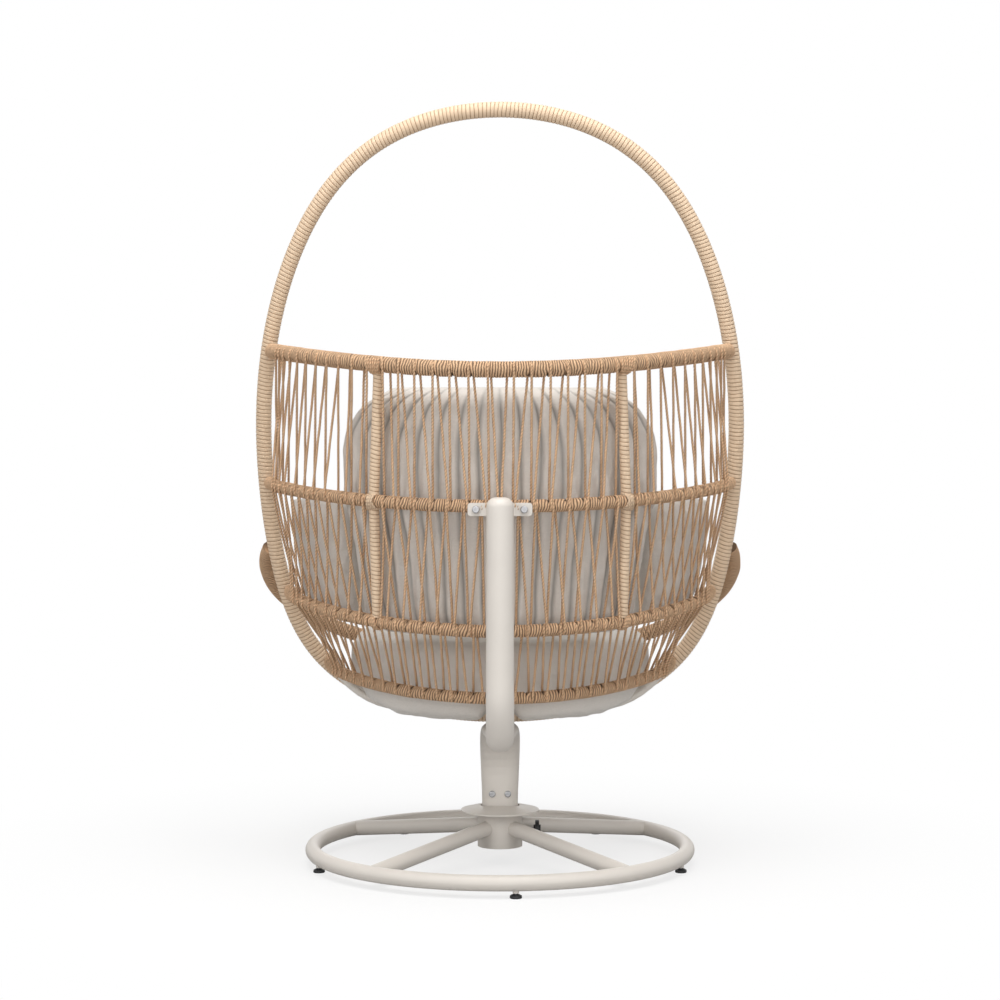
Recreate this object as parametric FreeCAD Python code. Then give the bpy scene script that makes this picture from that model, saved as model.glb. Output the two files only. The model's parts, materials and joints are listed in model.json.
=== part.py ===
import FreeCAD
import Part
import math
import os

# Swivel egg chair: a roped egg basket on one bent arm that turns on a ring base.
# Millimetres, +Z up, origin on the floor under the swivel axis. The sitter looks along -Y.

V = FreeCAD.Vector
UP = V(0, 0, 1)

# Clearances
SEAT_GAP = 0.3
RUN_GAP = 0.05

# Ring base
ring_radius = 372.0
ring_tube_d = 30.0
ring_z = 28.0
spoke_d = 30.0
spoke_hub_z = 70.0
spoke_angles = {"rear_spokes": (40.5, -40.5), "front_spokes": (125.6, -125.6)}

# Levelling feet, as angles from the rear of the ring
foot_angles = (4.5, 71.0, 146.8, -146.8, -71.0)
glide_d = 23.0
glide_height = 8.0
stem_d = 6.0
stem_show = 2.0
insert_d = 12.0
insert_depth = 11.0
insert_show = 3.5

# Hub and swivel bearing
hub_d = 89.0
hub_wall = 4.5
hub_bottom = 31.0
hub_top = 100.0
journal_d = 40.0
bush_flange = 2.6
lower_bush_bottom = 43.0
lower_bush_length = 15.0
upper_bush_length = 20.0
thrust_thickness = 1.5
shoulder_d = 92.0
shoulder_thickness = 3.6
retainer_thickness = 3.0
retainer_d = 60.0
retaining_bolt_d = 12.0
retaining_head = 6.5

# Pressed hub cover
cover_d = 155.0
cover_sheet = 2.6
cover_rim_z = 101.0
cover_rise = 11.5
cover_gap = 4.0

# Lock knob on the sitter's side of the hub
knob_z = 64.0
knob_d = 36.0
knob_core_d = 18.0
knob_thickness = 14.0
knob_rim = 7.5
knob_centre = 74.0
knob_screw_d = 8.0
knob_lobes = 5
boss_d = 16.0
boss_length = 7.0

# Bent arm
arm_rear_y = 424.2
arm_top_z = 740.0
arm_low_z = 268.0
arm_rise = 29.0
arm_bend_low = 100.0
arm_bend_rear = 90.0
arm_d_low = 51.6
arm_d_top = 49.4
post_width = 71.0
post_depth = 46.0
bend_width = 79.0
bend_depth = 41.0
crease_depth = 6.0
foot_crease = 1.2
arm_dome = 17.0
round_lead = 12.0
socket_wall = 3.0
socket_top = 168.0
plug_top = 160.0
post_bolt_z = 137.0
post_bolt_x = 15.5
post_bolt_d = 8.0
post_head_d = 13.0
post_head = 4.2

# Egg hoop, leaning back
hoop_d = 32.0
hoop_width = 955.0
hoop_height = 1239.0
hoop_lean = 10.0
hoop_bottom_y = -194.6
hoop_bottom_z = 268.8
hoop_shape = (1.0, 0.048, 0.072, 0.0156, 0.011)
hoop_stations = 24

# Rails: height of the ends on the hoop, depth and height at the back, wrapped diameter
rail_specs = {
    "rail_1": {"end_z": 1016.0, "rear_y": 420.0, "rear_z": 971.0, "d": 30.0},
    "rail_2": {"end_z": 753.0, "rear_y": 381.5, "rear_z": 722.0, "d": 24.0},
    "rail_3": {"end_z": 531.0, "rear_y": 345.0, "rear_z": 490.0, "d": 24.0},
    "rail_4": {"end_z": 384.0, "rear_y": 258.0, "rear_z": 356.0, "d": 23.0},
}
rail_tuck = 10.0

# Front rail: half an ellipse on a plane that falls towards the front
front_d = 30.0
front_end_z = 627.0
front_low_y = -435.0
front_low_z = 370.0
front_half_width = 487.0
front_bulge = 60.0
front_overhang = 5.245

# Ribs between the rails
rib_d = 16.0
rib_x = {"rail_1": 222.0, "rail_2": 234.0, "rail_3": 230.0}

# Clamp plate at the arm's top
clamp_length = 118.0
clamp_height = 24.0
clamp_sheet = 4.0
clamp_z = 717.0
clamp_bolt_x = 44.0
clamp_bolt_d = 8.0
clamp_head_d = 14.0
clamp_head = 5.0
clamp_bolt_depth = 17.0

# Seat frame
spine_d = 22.0
bracket_width = 48.0
bracket_sheet = 4.0
bracket_y = (60.0, 170.0)
seat_bolt_y = (80.0, 150.0)
seat_bolt_d = 8.0
seat_head_d = 14.0
seat_head = 5.0
seat_bolt_bite = 12.0
bar_d = 14.0
bar_y = (-30.0, -115.0)
pan_flat = 150.0
pan_half = 328.0
pan_height = 75.0

# Ropes
rope_d = 5.0
rope_pitch = 31.0
rope_reach = 76.0
rope_sides = 6
rope_clear = 1.3
rope_end_gap = 0.5
rope_scrap = 200.0
front_rope_pitch = 34.0
front_rope_pairs = 9
net_end_gap = 2.5

# Cushions
seat_half = 312.0
seat_front_y = -405.0
seat_top_z = 466.0
seat_crown = 10.0
seat_sag = 10.0
seat_edge = 45.0
seat_groove = 26.0
net_gap = 12.0
back_half = 292.0
back_top_z = 940.0
back_bottom_z = 484.0
back_thickness = 120.0
channel_count = 18
channel_crown = 5.0
bolster_thickness = 85.0
bolster_bottom_z = 486.0
bolster_top_z = 733.0
bolster_angles = (52.0, 80.0)
cushion_gap = 3.0
rope_gap = 8.0
bolster_round = 27.0
bolster_end = 0.34


def polar(radius, angle, z):
    """A point at an angle from the rear, turning towards -X."""
    a = math.radians(angle)
    return V(-radius * math.sin(a), radius * math.cos(a), z)


def cylinder(d, start, end):
    axis = end - start
    return Part.makeCylinder(d / 2, axis.Length, start, axis)


def circle_wire(d, centre, axis):
    return Part.Wire([Part.makeCircle(d / 2, centre, axis)])


def curve_through(points, closed=False):
    curve = Part.BSplineCurve()
    curve.interpolate(Points=points, PeriodicFlag=closed)
    return curve


def tube_between(curve, d, start, end, stations):
    """A round tube through circles across part of a curve, start and end as shares of it."""
    circles = []
    for i in range(stations + 1):
        share = start + (end - start) * i / stations
        u = curve.FirstParameter + (curve.LastParameter - curve.FirstParameter) * share
        circles.append(circle_wire(d, curve.value(u), curve.tangent(u)[0]))
    return Part.makeLoft(circles, True, True)


def bent_tube(points, d, stations=24):
    """A round tube along a smooth open curve through the points."""
    return tube_between(curve_through(points), d, 0, 1, stations)


def turned(profile):
    """A solid of revolution about Z from (radius, z) corners."""
    corners = [V(r, 0, z) for r, z in profile]
    face = Part.Face(Part.makePolygon(corners + [corners[0]]))
    return face.revolve(V(0, 0, 0), UP, 360)


def hex_prism(across, height, centre, axis, turn=0.0):
    """A hexagonal prism, for sockets and bolt heads."""
    axis = V(axis).normalize()
    side = axis.cross(UP) if abs(axis.z) < 0.9 else V(1, 0, 0)
    side.normalize()
    other = axis.cross(side)
    r = across / math.sqrt(3)
    corners = []
    for i in range(6):
        a = math.radians(60 * i + turn)
        corners.append(centre + side * (r * math.cos(a)) + other * (r * math.sin(a)))
    return Part.Face(Part.makePolygon(corners + [corners[0]])).extrude(axis * height)


# Hoop geometry


def hoop_profile(t):
    return sum(k * math.sin((i + 1) * t) for i, k in enumerate(hoop_shape))


HOOP_PEAK = max(hoop_profile(math.pi * i / 400) for i in range(401))


def hoop_point(t, side=1):
    """The hoop's centre line, from its foot at t = 0 to its crown at t = pi."""
    along = hoop_height / 2 * (1 - math.cos(t))
    lean = math.radians(hoop_lean)
    x = side * hoop_width / 2 * hoop_profile(t) / HOOP_PEAK
    return V(x, hoop_bottom_y + along * math.sin(lean), hoop_bottom_z + along * math.cos(lean))


def hoop_at(z):
    """The hoop's centre point at a height."""
    along = (z - hoop_bottom_z) / math.cos(math.radians(hoop_lean))
    return hoop_point(math.acos(1 - 2 * along / hoop_height))


def hoop_solid(d):
    count = 15
    right = [hoop_point(math.pi * i / count, 1) for i in range(count + 1)]
    left = [hoop_point(math.pi * i / count, -1) for i in range(count - 1, 0, -1)]
    curve = curve_through(right + left, closed=True)
    halves = [tube_between(curve, d, start, start + 0.5, hoop_stations) for start in (0, 0.5)]
    return halves[0].fuse(halves[1])


# Rail geometry


def rail_end(name):
    """The end of a rail's centre line, on the inner side of the hoop."""
    return hoop_at(rail_specs[name]["end_z"]) - V(rail_tuck, 0, 0)


def rail_point(name, t):
    """A rail's centre line: t = 0 at the back, 90 degrees at the hoop."""
    spec = rail_specs[name]
    end = rail_end(name)
    x = end.x * math.sin(t)
    y = end.y + (spec["rear_y"] - end.y) * math.cos(t)
    z = spec["rear_z"] + (spec["end_z"] - spec["rear_z"]) * math.sin(t) ** 2
    return V(x, y, z)


def rail_outward(name, t):
    end = rail_end(name)
    depth = rail_specs[name]["rear_y"] - end.y
    return V(depth * math.sin(t), end.x * math.cos(t), 0).normalize()


def rail_angle_at(name, x):
    return math.asin(x / rail_end(name).x)


def rail_solid(name, d):
    reach = math.pi / 2
    points = [rail_point(name, -reach + 2 * reach * i / 16) for i in range(17)]
    return bent_tube(points, d)


def front_point(t):
    """The front rail's centre line: t = 0 at the lowest front point, 1 at its end on the hoop."""
    end = hoop_at(front_end_z)
    run = V(0, front_low_y - end.y, front_low_z - front_end_z)
    length = run.Length
    semi = length - front_bulge
    t_end = math.acos(-front_bulge / semi)
    a = t * t_end
    along = (front_bulge + semi * math.cos(a)) / length
    draw_in = 1 - (end.x + front_overhang) / (front_half_width * math.sin(t_end))
    x = front_half_width * math.sin(a) * (1 - draw_in * t ** 8)
    return V(x, end.y + run.y * along, front_end_z + run.z * along)


def net_ends(x):
    """Centre points on the front rail and on the hoop's foot that one rope of the front net joins."""
    run = hoop_at(front_end_z).sub(V(0, front_low_y, front_low_z))
    run.x = 0
    semi = run.Length - front_bulge
    rail = front_point(math.asin(x / front_half_width) / math.acos(-front_bulge / semi))
    low = 0.0
    high = math.pi / 2
    for _ in range(30):
        mid = (low + high) / 2
        low, high = (mid, high) if hoop_point(mid).x < x * 0.92 else (low, mid)
    return rail, hoop_point(low)


# Arm geometry


def arm_frame():
    """Corners of the arm's centre line and the direction of its run."""
    low = V(0, 0, arm_low_z)
    rear = V(0, arm_rear_y, arm_low_z + arm_rise)
    run = (rear - low).normalize()
    return low, rear, run, math.acos(UP.dot(run))


def arm_stations():
    """Places along the arm's foot, lower bend and run: point, direction and share of the way to round."""
    low, rear, run, turn = arm_frame()
    foot = V(0, 0, shoulder_top + SEAT_GAP)
    setback = arm_bend_low * math.tan(turn / 2)
    straight_top = low - UP * setback
    stations = [(foot, UP, 0.0), ((foot + straight_top) * 0.5, UP, 0.1)]
    centre = straight_top + V(0, arm_bend_low, 0)
    for i in range(9):
        a = turn * i / 8
        heading = V(0, math.sin(a), math.cos(a))
        stations.append((centre + V(0, -heading.z, heading.y) * arm_bend_low, heading, 0.2 + 0.05 * i))
    start = low + run * setback
    end = rear - run * (arm_bend_rear * math.tan(turn / 2) + round_lead - 3)
    for k in (0.25, 0.5, 0.75, 1.0):
        stations.append((start + (end - start) * k, run, 0.6 + 0.4 * k))
    return stations


def blend(a, b, share):
    share = min(max(share, 0.0), 1.0)
    return a + (b - a) * share * share * (3 - 2 * share)


def arm_section(point, direction, share, inset=0.0):
    """A closed section across the arm: creased oval low down, round at the rear bend."""
    wide = blend(post_width, bend_width, share / 0.4)
    deep = blend(post_depth, bend_depth, share / 0.4)
    if share > 0.4:
        wide = blend(bend_width, arm_d_low, (share - 0.4) / 0.6)
        deep = blend(bend_depth, arm_d_low, (share - 0.75) / 0.25)
    crease = foot_crease + (crease_depth - foot_crease) * math.sin(math.pi * min(share / 0.75, 1.0)) ** 4
    crease *= 1 - blend(0, 1, (share - 0.6) / 0.3)
    inner = V(0, direction.z, -direction.y)
    points = []
    count = 16
    for i in range(count):
        a = 2 * math.pi * i / count
        dent = crease * math.exp(-((min(a, 2 * math.pi - a)) / 0.42) ** 2)
        across = (wide / 2 - inset) * math.sin(a)
        points.append(point + V(across, 0, 0) + inner * ((deep / 2 - inset) * math.cos(a) - dent))
    return Part.Wire([curve_through(points, closed=True).toShape()])


def rear_bend():
    """The round part: a short straight, the rear bend and the tapering upright with its domed end."""
    low, rear, run, turn = arm_frame()
    setback = arm_bend_rear * math.tan(turn / 2)
    start = rear - run * (setback + round_lead)
    bend_start = rear - run * setback
    centre = rear + UP * setback - V(0, arm_bend_rear, 0)
    bend_end = V(0, arm_rear_y, centre.z)
    a = turn / 2
    middle = centre + V(0, math.cos(a), -math.sin(a)) * arm_bend_rear
    path = Part.Wire([Part.makeLine(start, bend_start), Part.Arc(bend_start, middle, bend_end).toShape()])
    bend = path.makePipeShell([circle_wire(arm_d_low, start, run)], True, False)
    upright = Part.makeCone(arm_d_low / 2, arm_d_top / 2, arm_top_z - bend_end.z, bend_end)
    rim = [e for e in upright.Edges if e.BoundBox.ZMin > arm_top_z - 0.1]
    return bend.fuse(upright.makeFillet(arm_dome, rim[:1]))


def arm_line_z(y):
    return arm_low_z + arm_rise * y / arm_rear_y


# Heights that several pieces share

upper_flange_top = hub_top + SEAT_GAP + bush_flange
thrust_bottom = upper_flange_top + RUN_GAP
shoulder_bottom = thrust_bottom + thrust_thickness + RUN_GAP
shoulder_top = shoulder_bottom + shoulder_thickness
hub_bore = hub_d - 2 * hub_wall
journal_bottom = lower_bush_bottom - SEAT_GAP
bracket_top_offset = bend_depth / 2 + SEAT_GAP + bracket_sheet + SEAT_GAP


def base_parts():
    parts = {}
    ring = Part.makeTorus(ring_radius, ring_tube_d / 2, V(0, 0, ring_z))
    ring_cutter = Part.makeTorus(ring_radius, ring_tube_d / 2 + SEAT_GAP, V(0, 0, ring_z))
    insert_bottom = ring_z - ring_tube_d / 2 - insert_show
    inserts = []
    for angle in foot_angles:
        foot = polar(ring_radius, angle, insert_bottom)
        pocket = Part.makeCylinder(insert_d / 2 + SEAT_GAP / 2, insert_depth + insert_show + SEAT_GAP, foot)
        ring = ring.cut(pocket)
        insert = Part.makeCylinder(insert_d / 2, insert_depth + insert_show, foot)
        bore = Part.makeCylinder(stem_d / 2 + RUN_GAP, insert_depth, foot)
        inserts.append(insert.cut(bore))
    parts["base_ring"] = ring
    parts["foot_inserts"] = Part.makeCompound(inserts)
    hub_outer = Part.makeCylinder(hub_d / 2 + SEAT_GAP, 2 * hub_top)
    for name, angles in spoke_angles.items():
        spokes = []
        for angle in angles:
            inner = polar(hub_bore / 2, angle, spoke_hub_z)
            spoke = cylinder(spoke_d, inner, polar(ring_radius, angle, ring_z))
            spokes.append(spoke.cut(hub_outer).cut(ring_cutter))
        parts[name] = Part.makeCompound(spokes)
    hub = Part.makeCylinder(hub_d / 2, hub_top - hub_bottom, V(0, 0, hub_bottom))
    hub = hub.cut(Part.makeCylinder(hub_bore / 2, hub_top, V(0, 0, 0)))
    screw_hole = Part.makeCylinder(knob_screw_d / 2 + RUN_GAP, hub_d, V(0, 0, knob_z), V(-1, 0, 0))
    parts["hub_tube"] = hub.cut(screw_hole)
    boss_start = V(-hub_bore / 2, 0, knob_z)
    boss = Part.makeCylinder(boss_d / 2, boss_length + hub_wall, boss_start, V(-1, 0, 0))
    boss = boss.cut(Part.makeCylinder(hub_d / 2 + SEAT_GAP, 200)).cut(screw_hole)
    parts["knob_boss"] = boss
    bore = journal_d / 2 + RUN_GAP
    snug = hub_bore / 2 - RUN_GAP
    lower_bush_top = lower_bush_bottom + lower_bush_length
    parts["lower_bush"] = turned([
        (bore, lower_bush_bottom), (snug, lower_bush_bottom), (snug, lower_bush_top), (bore, lower_bush_top),
    ])
    flange_low = hub_top + SEAT_GAP
    parts["upper_bush"] = turned([
        (bore, hub_top - upper_bush_length), (snug, hub_top - upper_bush_length),
        (snug, flange_low), (hub_d / 2 - 1, flange_low),
        (hub_d / 2 - 1, upper_flange_top), (bore, upper_flange_top),
    ])
    parts["thrust_washer"] = turned([
        (bore, thrust_bottom), (hub_d / 2 - 2, thrust_bottom),
        (hub_d / 2 - 2, thrust_bottom + thrust_thickness), (bore, thrust_bottom + thrust_thickness),
    ])
    return parts


def foot_parts():
    parts = {}
    insert_bottom = ring_z - ring_tube_d / 2 - insert_show
    for i, angle in enumerate(foot_angles, 1):
        foot = polar(ring_radius, angle, 0)
        crown = glide_height * 0.35
        glide = turned([
            (0, 0), (glide_d / 2 - 1, 0), (glide_d / 2, 1.2), (glide_d / 2 - 0.6, glide_height - crown),
            (glide_d / 2 - 4, glide_height - 0.8), (stem_d / 2 + 2, glide_height), (0, glide_height),
        ])
        stem_top = insert_bottom + insert_depth - SEAT_GAP
        stem_bottom = glide_height - 5
        stem = Part.makeCylinder(stem_d / 2, stem_top - stem_bottom, V(0, 0, stem_bottom))
        glide = glide.cut(Part.makeCylinder(stem_d / 2, glide_height, V(0, 0, stem_bottom)))
        glide.translate(foot)
        stem.translate(foot)
        parts["foot_glide_%d" % i] = glide
        parts["foot_stem_%d" % i] = stem
    return parts


def knob_parts():
    start = hub_d / 2 - hub_wall
    screw_tip = start - 1
    screw = cylinder(knob_screw_d, V(-screw_tip, 0, knob_z), V(-knob_centre, 0, knob_z))
    middle = V(-knob_centre, 0, knob_z)
    half_core = V(knob_thickness / 2, 0, 0)
    half_rim = V(knob_rim / 2, 0, 0)
    knob = cylinder(knob_core_d, middle + half_core, middle - half_core)
    knob = knob.fuse(cylinder(knob_d, middle + half_rim, middle - half_rim))
    scallop_r = knob_d * 0.16
    for i in range(knob_lobes):
        a = 2 * math.pi * (i + 0.5) / knob_lobes
        centre = middle + V(-knob_thickness, knob_d * 0.58 * math.sin(a), knob_d * 0.58 * math.cos(a))
        knob = knob.cut(Part.makeCylinder(scallop_r, 2 * knob_thickness, centre, V(1, 0, 0)))
    knob = knob.cut(screw)
    return {"lock_screw": screw, "lock_knob": knob.removeSplitter()}


def swivel_parts():
    parts = {}
    journal = Part.makeCylinder(journal_d / 2, shoulder_bottom - journal_bottom, V(0, 0, journal_bottom))
    shoulder = Part.makeCylinder(shoulder_d / 2, shoulder_thickness, V(0, 0, shoulder_bottom))
    plug_clear = socket_wall + 0.6
    plug_foot = V(0, 0, shoulder_top - 1)
    plug = Part.Face(arm_section(plug_foot, UP, 0.0, plug_clear)).extrude(UP * (plug_top - plug_foot.z))
    spindle = journal.fuse(shoulder).fuse(plug)
    thread = Part.makeCylinder(retaining_bolt_d / 2, 30, V(0, 0, journal_bottom))
    spindle = spindle.cut(thread)
    bolts = []
    for side in (-1, 1):
        rear = post_rear_y(post_bolt_x)
        seat = V(side * post_bolt_x, rear - 1.6, post_bolt_z)
        head = Part.makeCylinder(post_head_d / 2, post_head, seat, V(0, 1, 0))
        edge = [e for e in head.Edges if e.BoundBox.YMin > seat.y + post_head - 0.1]
        head = head.makeFillet(post_head * 0.5, edge[:1])
        shank = Part.makeCylinder(post_bolt_d / 2, 24, seat, V(0, -1, 0))
        socket = hex_prism(5.0, 3.0, seat + V(0, post_head - 2.4, 0), V(0, 1, 0))
        bolts.append(head.fuse(shank).cut(socket))
        spindle = spindle.cut(Part.makeCylinder(post_bolt_d / 2 + RUN_GAP, 26, seat, V(0, -1, 0)))
    parts["spindle"] = spindle.removeSplitter()
    parts["post_bolts"] = Part.makeCompound(bolts)
    washer_top = journal_bottom - RUN_GAP
    washer_bottom = washer_top - retainer_thickness
    washer = Part.makeCylinder(retainer_d / 2, retainer_thickness, V(0, 0, washer_bottom))
    washer_hole = Part.makeCylinder(retaining_bolt_d / 2 + SEAT_GAP, 20, V(0, 0, washer_bottom - 5))
    parts["retaining_washer"] = washer.cut(washer_hole)
    head_top = washer_bottom - RUN_GAP
    head = hex_prism(18.0, retaining_head, V(0, 0, head_top - retaining_head), UP)
    parts["retaining_bolt"] = head.fuse(Part.makeCylinder(retaining_bolt_d / 2, 28, V(0, 0, head_top)))
    parts["hub_cover"] = cover_solid()
    return parts


def post_rear_y(x):
    """The rear surface of the arm's foot at an offset from the middle."""
    share = 2 * x / post_width
    return post_depth / 2 * math.sqrt(1 - share * share)


def cover_solid():
    """A pressed dome with an oval collar that stands on the spindle's shoulder."""
    rim = cover_d / 2
    rise = cover_rise
    sphere_r = (rim * rim + rise * rise) / (2 * rise)
    centre_z = cover_rim_z + cover_sheet + rise - sphere_r
    outer = Part.makeSphere(sphere_r, V(0, 0, centre_z))
    inner = Part.makeSphere(sphere_r - cover_sheet, V(0, 0, centre_z))
    lid = Part.makeCylinder(rim, 40, V(0, 0, cover_rim_z + cover_sheet))
    dome = outer.common(lid).cut(inner)
    band = Part.makeCylinder(rim, cover_sheet + 0.4, V(0, 0, cover_rim_z))
    band = band.cut(Part.makeCylinder(rim - cover_sheet, 20, V(0, 0, cover_rim_z - 5)))
    hole = Part.Face(arm_section(V(0, 0, 90), UP, 0.0, -cover_gap)).extrude(UP * 60)
    collar = Part.Face(arm_section(V(0, 0, shoulder_top + SEAT_GAP), UP, 0.0, -cover_gap - cover_sheet))
    collar = collar.extrude(UP * (cover_rim_z + cover_sheet + rise * 0.78 - shoulder_top - SEAT_GAP))
    collar = collar.common(outer)
    return dome.fuse(band).fuse(collar).cut(hole).removeSplitter()


def arm_parts():
    stations = arm_stations()
    sections = [arm_section(point, run, share, share ** 8 * 0.35) for point, run, share in stations]
    arm = Part.makeLoft(sections, True, True).fuse(rear_bend())
    foot = stations[0][0]
    socket = Part.Face(arm_section(foot - UP, UP, 0.0, socket_wall)).extrude(UP * (socket_top - foot.z))
    arm = arm.cut(socket)
    for side in (-1, 1):
        seat = V(side * post_bolt_x, post_rear_y(post_bolt_x) - 1.6, post_bolt_z)
        dimple = Part.makeCylinder(post_head_d / 2 + SEAT_GAP, 20, seat - V(0, SEAT_GAP, 0), V(0, 1, 0))
        hole = Part.makeCylinder(post_bolt_d / 2 + RUN_GAP, 12, seat, V(0, -1, 0))
        arm = arm.cut(dimple).cut(hole)
    for y in seat_bolt_y:
        arm = arm.cut(seat_bolt_shank(y, RUN_GAP, 0.5))
    return {"arm_tube": arm}


def pan_rise(x):
    """How far the seat bars rise towards the sides."""
    share = max(abs(x) - pan_flat, 0) / (pan_half - pan_flat)
    return pan_height * share ** 3


def bar_height(y, x):
    """Centre height of a seat bar: it rises to meet the lowest rail."""
    end = rail_end("rail_4")
    outer = rail_point("rail_4", math.acos((y - end.y) / (rail_specs["rail_4"]["rear_y"] - end.y)))
    low = spine_height(0) - 1
    return low + (outer.z - low) * pan_rise(x) / pan_rise(outer.x)


def spine_height(y):
    return arm_line_z(y) + bracket_top_offset + spine_d / 2


def spine_solid(d):
    front = front_point(0)
    over_hoop = hoop_bottom_z + hoop_d / 2 + SEAT_GAP + spine_d / 2
    rear = V(0, rail_specs["rail_4"]["rear_y"], rail_specs["rail_4"]["rear_z"])
    near, far = bracket_y
    straight = [near - 40, near, (near + far) / 2, far, far + 20]
    points = [V(0, front.y, front.z), V(0, front.y + 90, over_hoop + 26), V(0, hoop_bottom_y, over_hoop)]
    points += [V(0, y, spine_height(y)) for y in straight]
    points += [V(0, rear.y - 32, rear.z - 22), rear]
    return bent_tube(points, d)


def seat_bolt_shank(y, clearance, extra):
    normal = V(0, -arm_rise, arm_rear_y).normalize()
    top = V(0, y, spine_height(y)) + normal * (spine_d / 2 + 1)
    length = spine_d + 1 + bracket_top_offset - bend_depth / 2 + seat_bolt_bite + extra
    return Part.makeCylinder(seat_bolt_d / 2 + clearance, length, top, normal * -1)


def seat_frame_parts(rail_4_cutter, front_cutter):
    parts = {}
    spine = spine_solid(spine_d).cut(rail_4_cutter).cut(front_cutter)
    normal = V(0, -arm_rise, arm_rear_y).normalize()
    along = V(0, arm_rear_y, arm_rise).normalize()
    bolts = []
    for y in seat_bolt_y:
        spine = spine.cut(seat_bolt_shank(y, RUN_GAP, 1))
        base = V(0, y, spine_height(y)) + normal * (spine_d / 2 + SEAT_GAP)
        head = Part.makeCylinder(seat_head_d / 2, seat_head, base, normal)
        shank = seat_bolt_shank(y, 0, 0)
        socket = hex_prism(6.0, 4.0, base + normal * (seat_head - 3), normal)
        bolts.append(head.fuse(shank).cut(socket))
    middle = V(0, (bracket_y[0] + bracket_y[1]) / 2, 0)
    middle.z = arm_line_z(middle.y)
    length = bracket_y[1] - bracket_y[0]
    plate = Part.makeBox(bracket_width, length, bracket_sheet, V(-bracket_width / 2, -length / 2, 0))
    seat = middle + normal * (bend_depth / 2 + SEAT_GAP)
    plate.Placement = FreeCAD.Placement(seat, FreeCAD.Rotation(V(0, 1, 0), along))
    for y in seat_bolt_y:
        plate = plate.cut(seat_bolt_shank(y, RUN_GAP, 1))
    parts["seat_bracket"] = plate
    parts["seat_bolts"] = Part.makeCompound(bolts)
    spine_cutter = spine_solid(spine_d + 2 * SEAT_GAP)
    bars = []
    end = rail_end("rail_4")
    for y in bar_y:
        t = math.acos((y - end.y) / (rail_specs["rail_4"]["rear_y"] - end.y))
        outer = rail_point("rail_4", t).x
        for side in (-1, 1):
            points = [V(side * outer * k / 8, y, bar_height(y, outer * k / 8)) for k in range(9)]
            bars.append(bent_tube(points, bar_d, 16).cut(spine_cutter).cut(rail_4_cutter))
    parts["seat_spine"] = spine
    parts["seat_bars"] = Part.makeCompound(bars)
    return parts


def rope_bar(start, end, outward):
    """A straight rope as a slim faceted bar."""
    axis = (end - start).normalize()
    side = axis.cross(outward).normalize()
    other = axis.cross(side)
    r = rope_d / 2
    corners = []
    for i in range(rope_sides):
        a = 2 * math.pi * (i + 0.5) / rope_sides
        corners.append(start + side * (r * math.cos(a)) + other * (r * math.sin(a)))
    return Part.Face(Part.makePolygon(corners + [corners[0]])).extrude(end - start)


def beside_rail(name, t, axis, layer):
    """Centre of a rope where it passes a rail: along the common normal of rope and rail."""
    tangent = rail_point(name, t + 0.01) - rail_point(name, t - 0.01)
    normal = axis.cross(tangent).normalize()
    if normal.dot(rail_outward(name, t)) * layer < 0:
        normal = normal * -1
    return rail_point(name, t) + normal * (rail_specs[name]["d"] / 2 + rope_clear + rope_d / 2)


def ended_at(point, axis, level):
    """The rope's end, drawn back along its axis until the whole end is past the rail's centre height."""
    margin = rope_d / 2 * math.hypot(axis.x, axis.y) + rope_end_gap
    short = margin - (point.z - level) * math.copysign(1, axis.z)
    return point + axis * (max(short, 0) / abs(axis.z))


def rope_between(upper, lower, t_top, t_low, layer, side):
    """A rope along the line that passes both rails, outside (layer 1) or inside (layer -1) them."""
    axis = (rail_point(lower, t_low) - rail_point(upper, t_top)).normalize()
    top = beside_rail(upper, t_top, axis, layer)
    low = beside_rail(lower, t_low, axis, layer)
    axis = (low - top).normalize()
    top = ended_at(top, axis, rail_point(upper, t_top).z)
    low = ended_at(low, axis * -1, rail_point(lower, t_low).z)
    outward = rail_outward(upper, t_top)
    start, end, out = (V(side * p.x, p.y, p.z) for p in (top, low, outward))
    return rope_bar(start, end, out)


def rope_band(upper, lower, layer, shift_top, shift_low):
    """Ropes from one rail down to the next; each shift is a share of the distance between two ropes."""
    upper_end = rail_end(upper)
    step = 2 * rope_pitch / (upper_end.x + rail_specs[upper]["rear_y"] - upper_end.y)
    reach = math.radians(rope_reach)
    ropes = []
    for side in (-1, 1):
        for j in range(int(reach / step)):
            t_top = (j + 0.5 + shift_top) * step
            t_low = (j + 0.5 + shift_low) * step
            if max(t_top, t_low) <= reach:
                ropes.append(rope_between(upper, lower, t_top, t_low, layer, side))
    return ropes


def keep_clear(ropes, cutter):
    kept = []
    for rope in ropes:
        if rope.BoundBox.intersect(cutter.BoundBox):
            kept.extend(s for s in rope.cut(cutter).Solids if s.Volume > rope_scrap)
        else:
            kept.append(rope)
    return kept


def rope_parts():
    plate_half = clamp_length / 2 + 3
    low_corner = V(-plate_half, rail_specs["rail_2"]["rear_y"] + 3, clamp_z - clamp_height / 2 - 4)
    cutter = Part.makeBox(2 * plate_half, 80, clamp_height + 8, low_corner)
    bands = {
        "ropes_upper_outer": rope_band("rail_1", "rail_2", 1, 0.0, 0.0),
        "ropes_upper_inner": rope_band("rail_1", "rail_2", -1, 0.0, 0.8),
        "ropes_middle_outer": rope_band("rail_2", "rail_3", 1, 0.0, -0.5),
        "ropes_middle_inner": rope_band("rail_2", "rail_3", -1, 0.0, 0.5),
        "ropes_lower_outer": rope_band("rail_3", "rail_4", 1, 0.0, -0.3),
        "ropes_lower_inner": rope_band("rail_3", "rail_4", -1, 0.2, -0.1),
    }
    parts = {}
    for name, ropes in bands.items():
        parts[name] = Part.makeCompound(keep_clear(ropes, cutter))
    return parts


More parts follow.
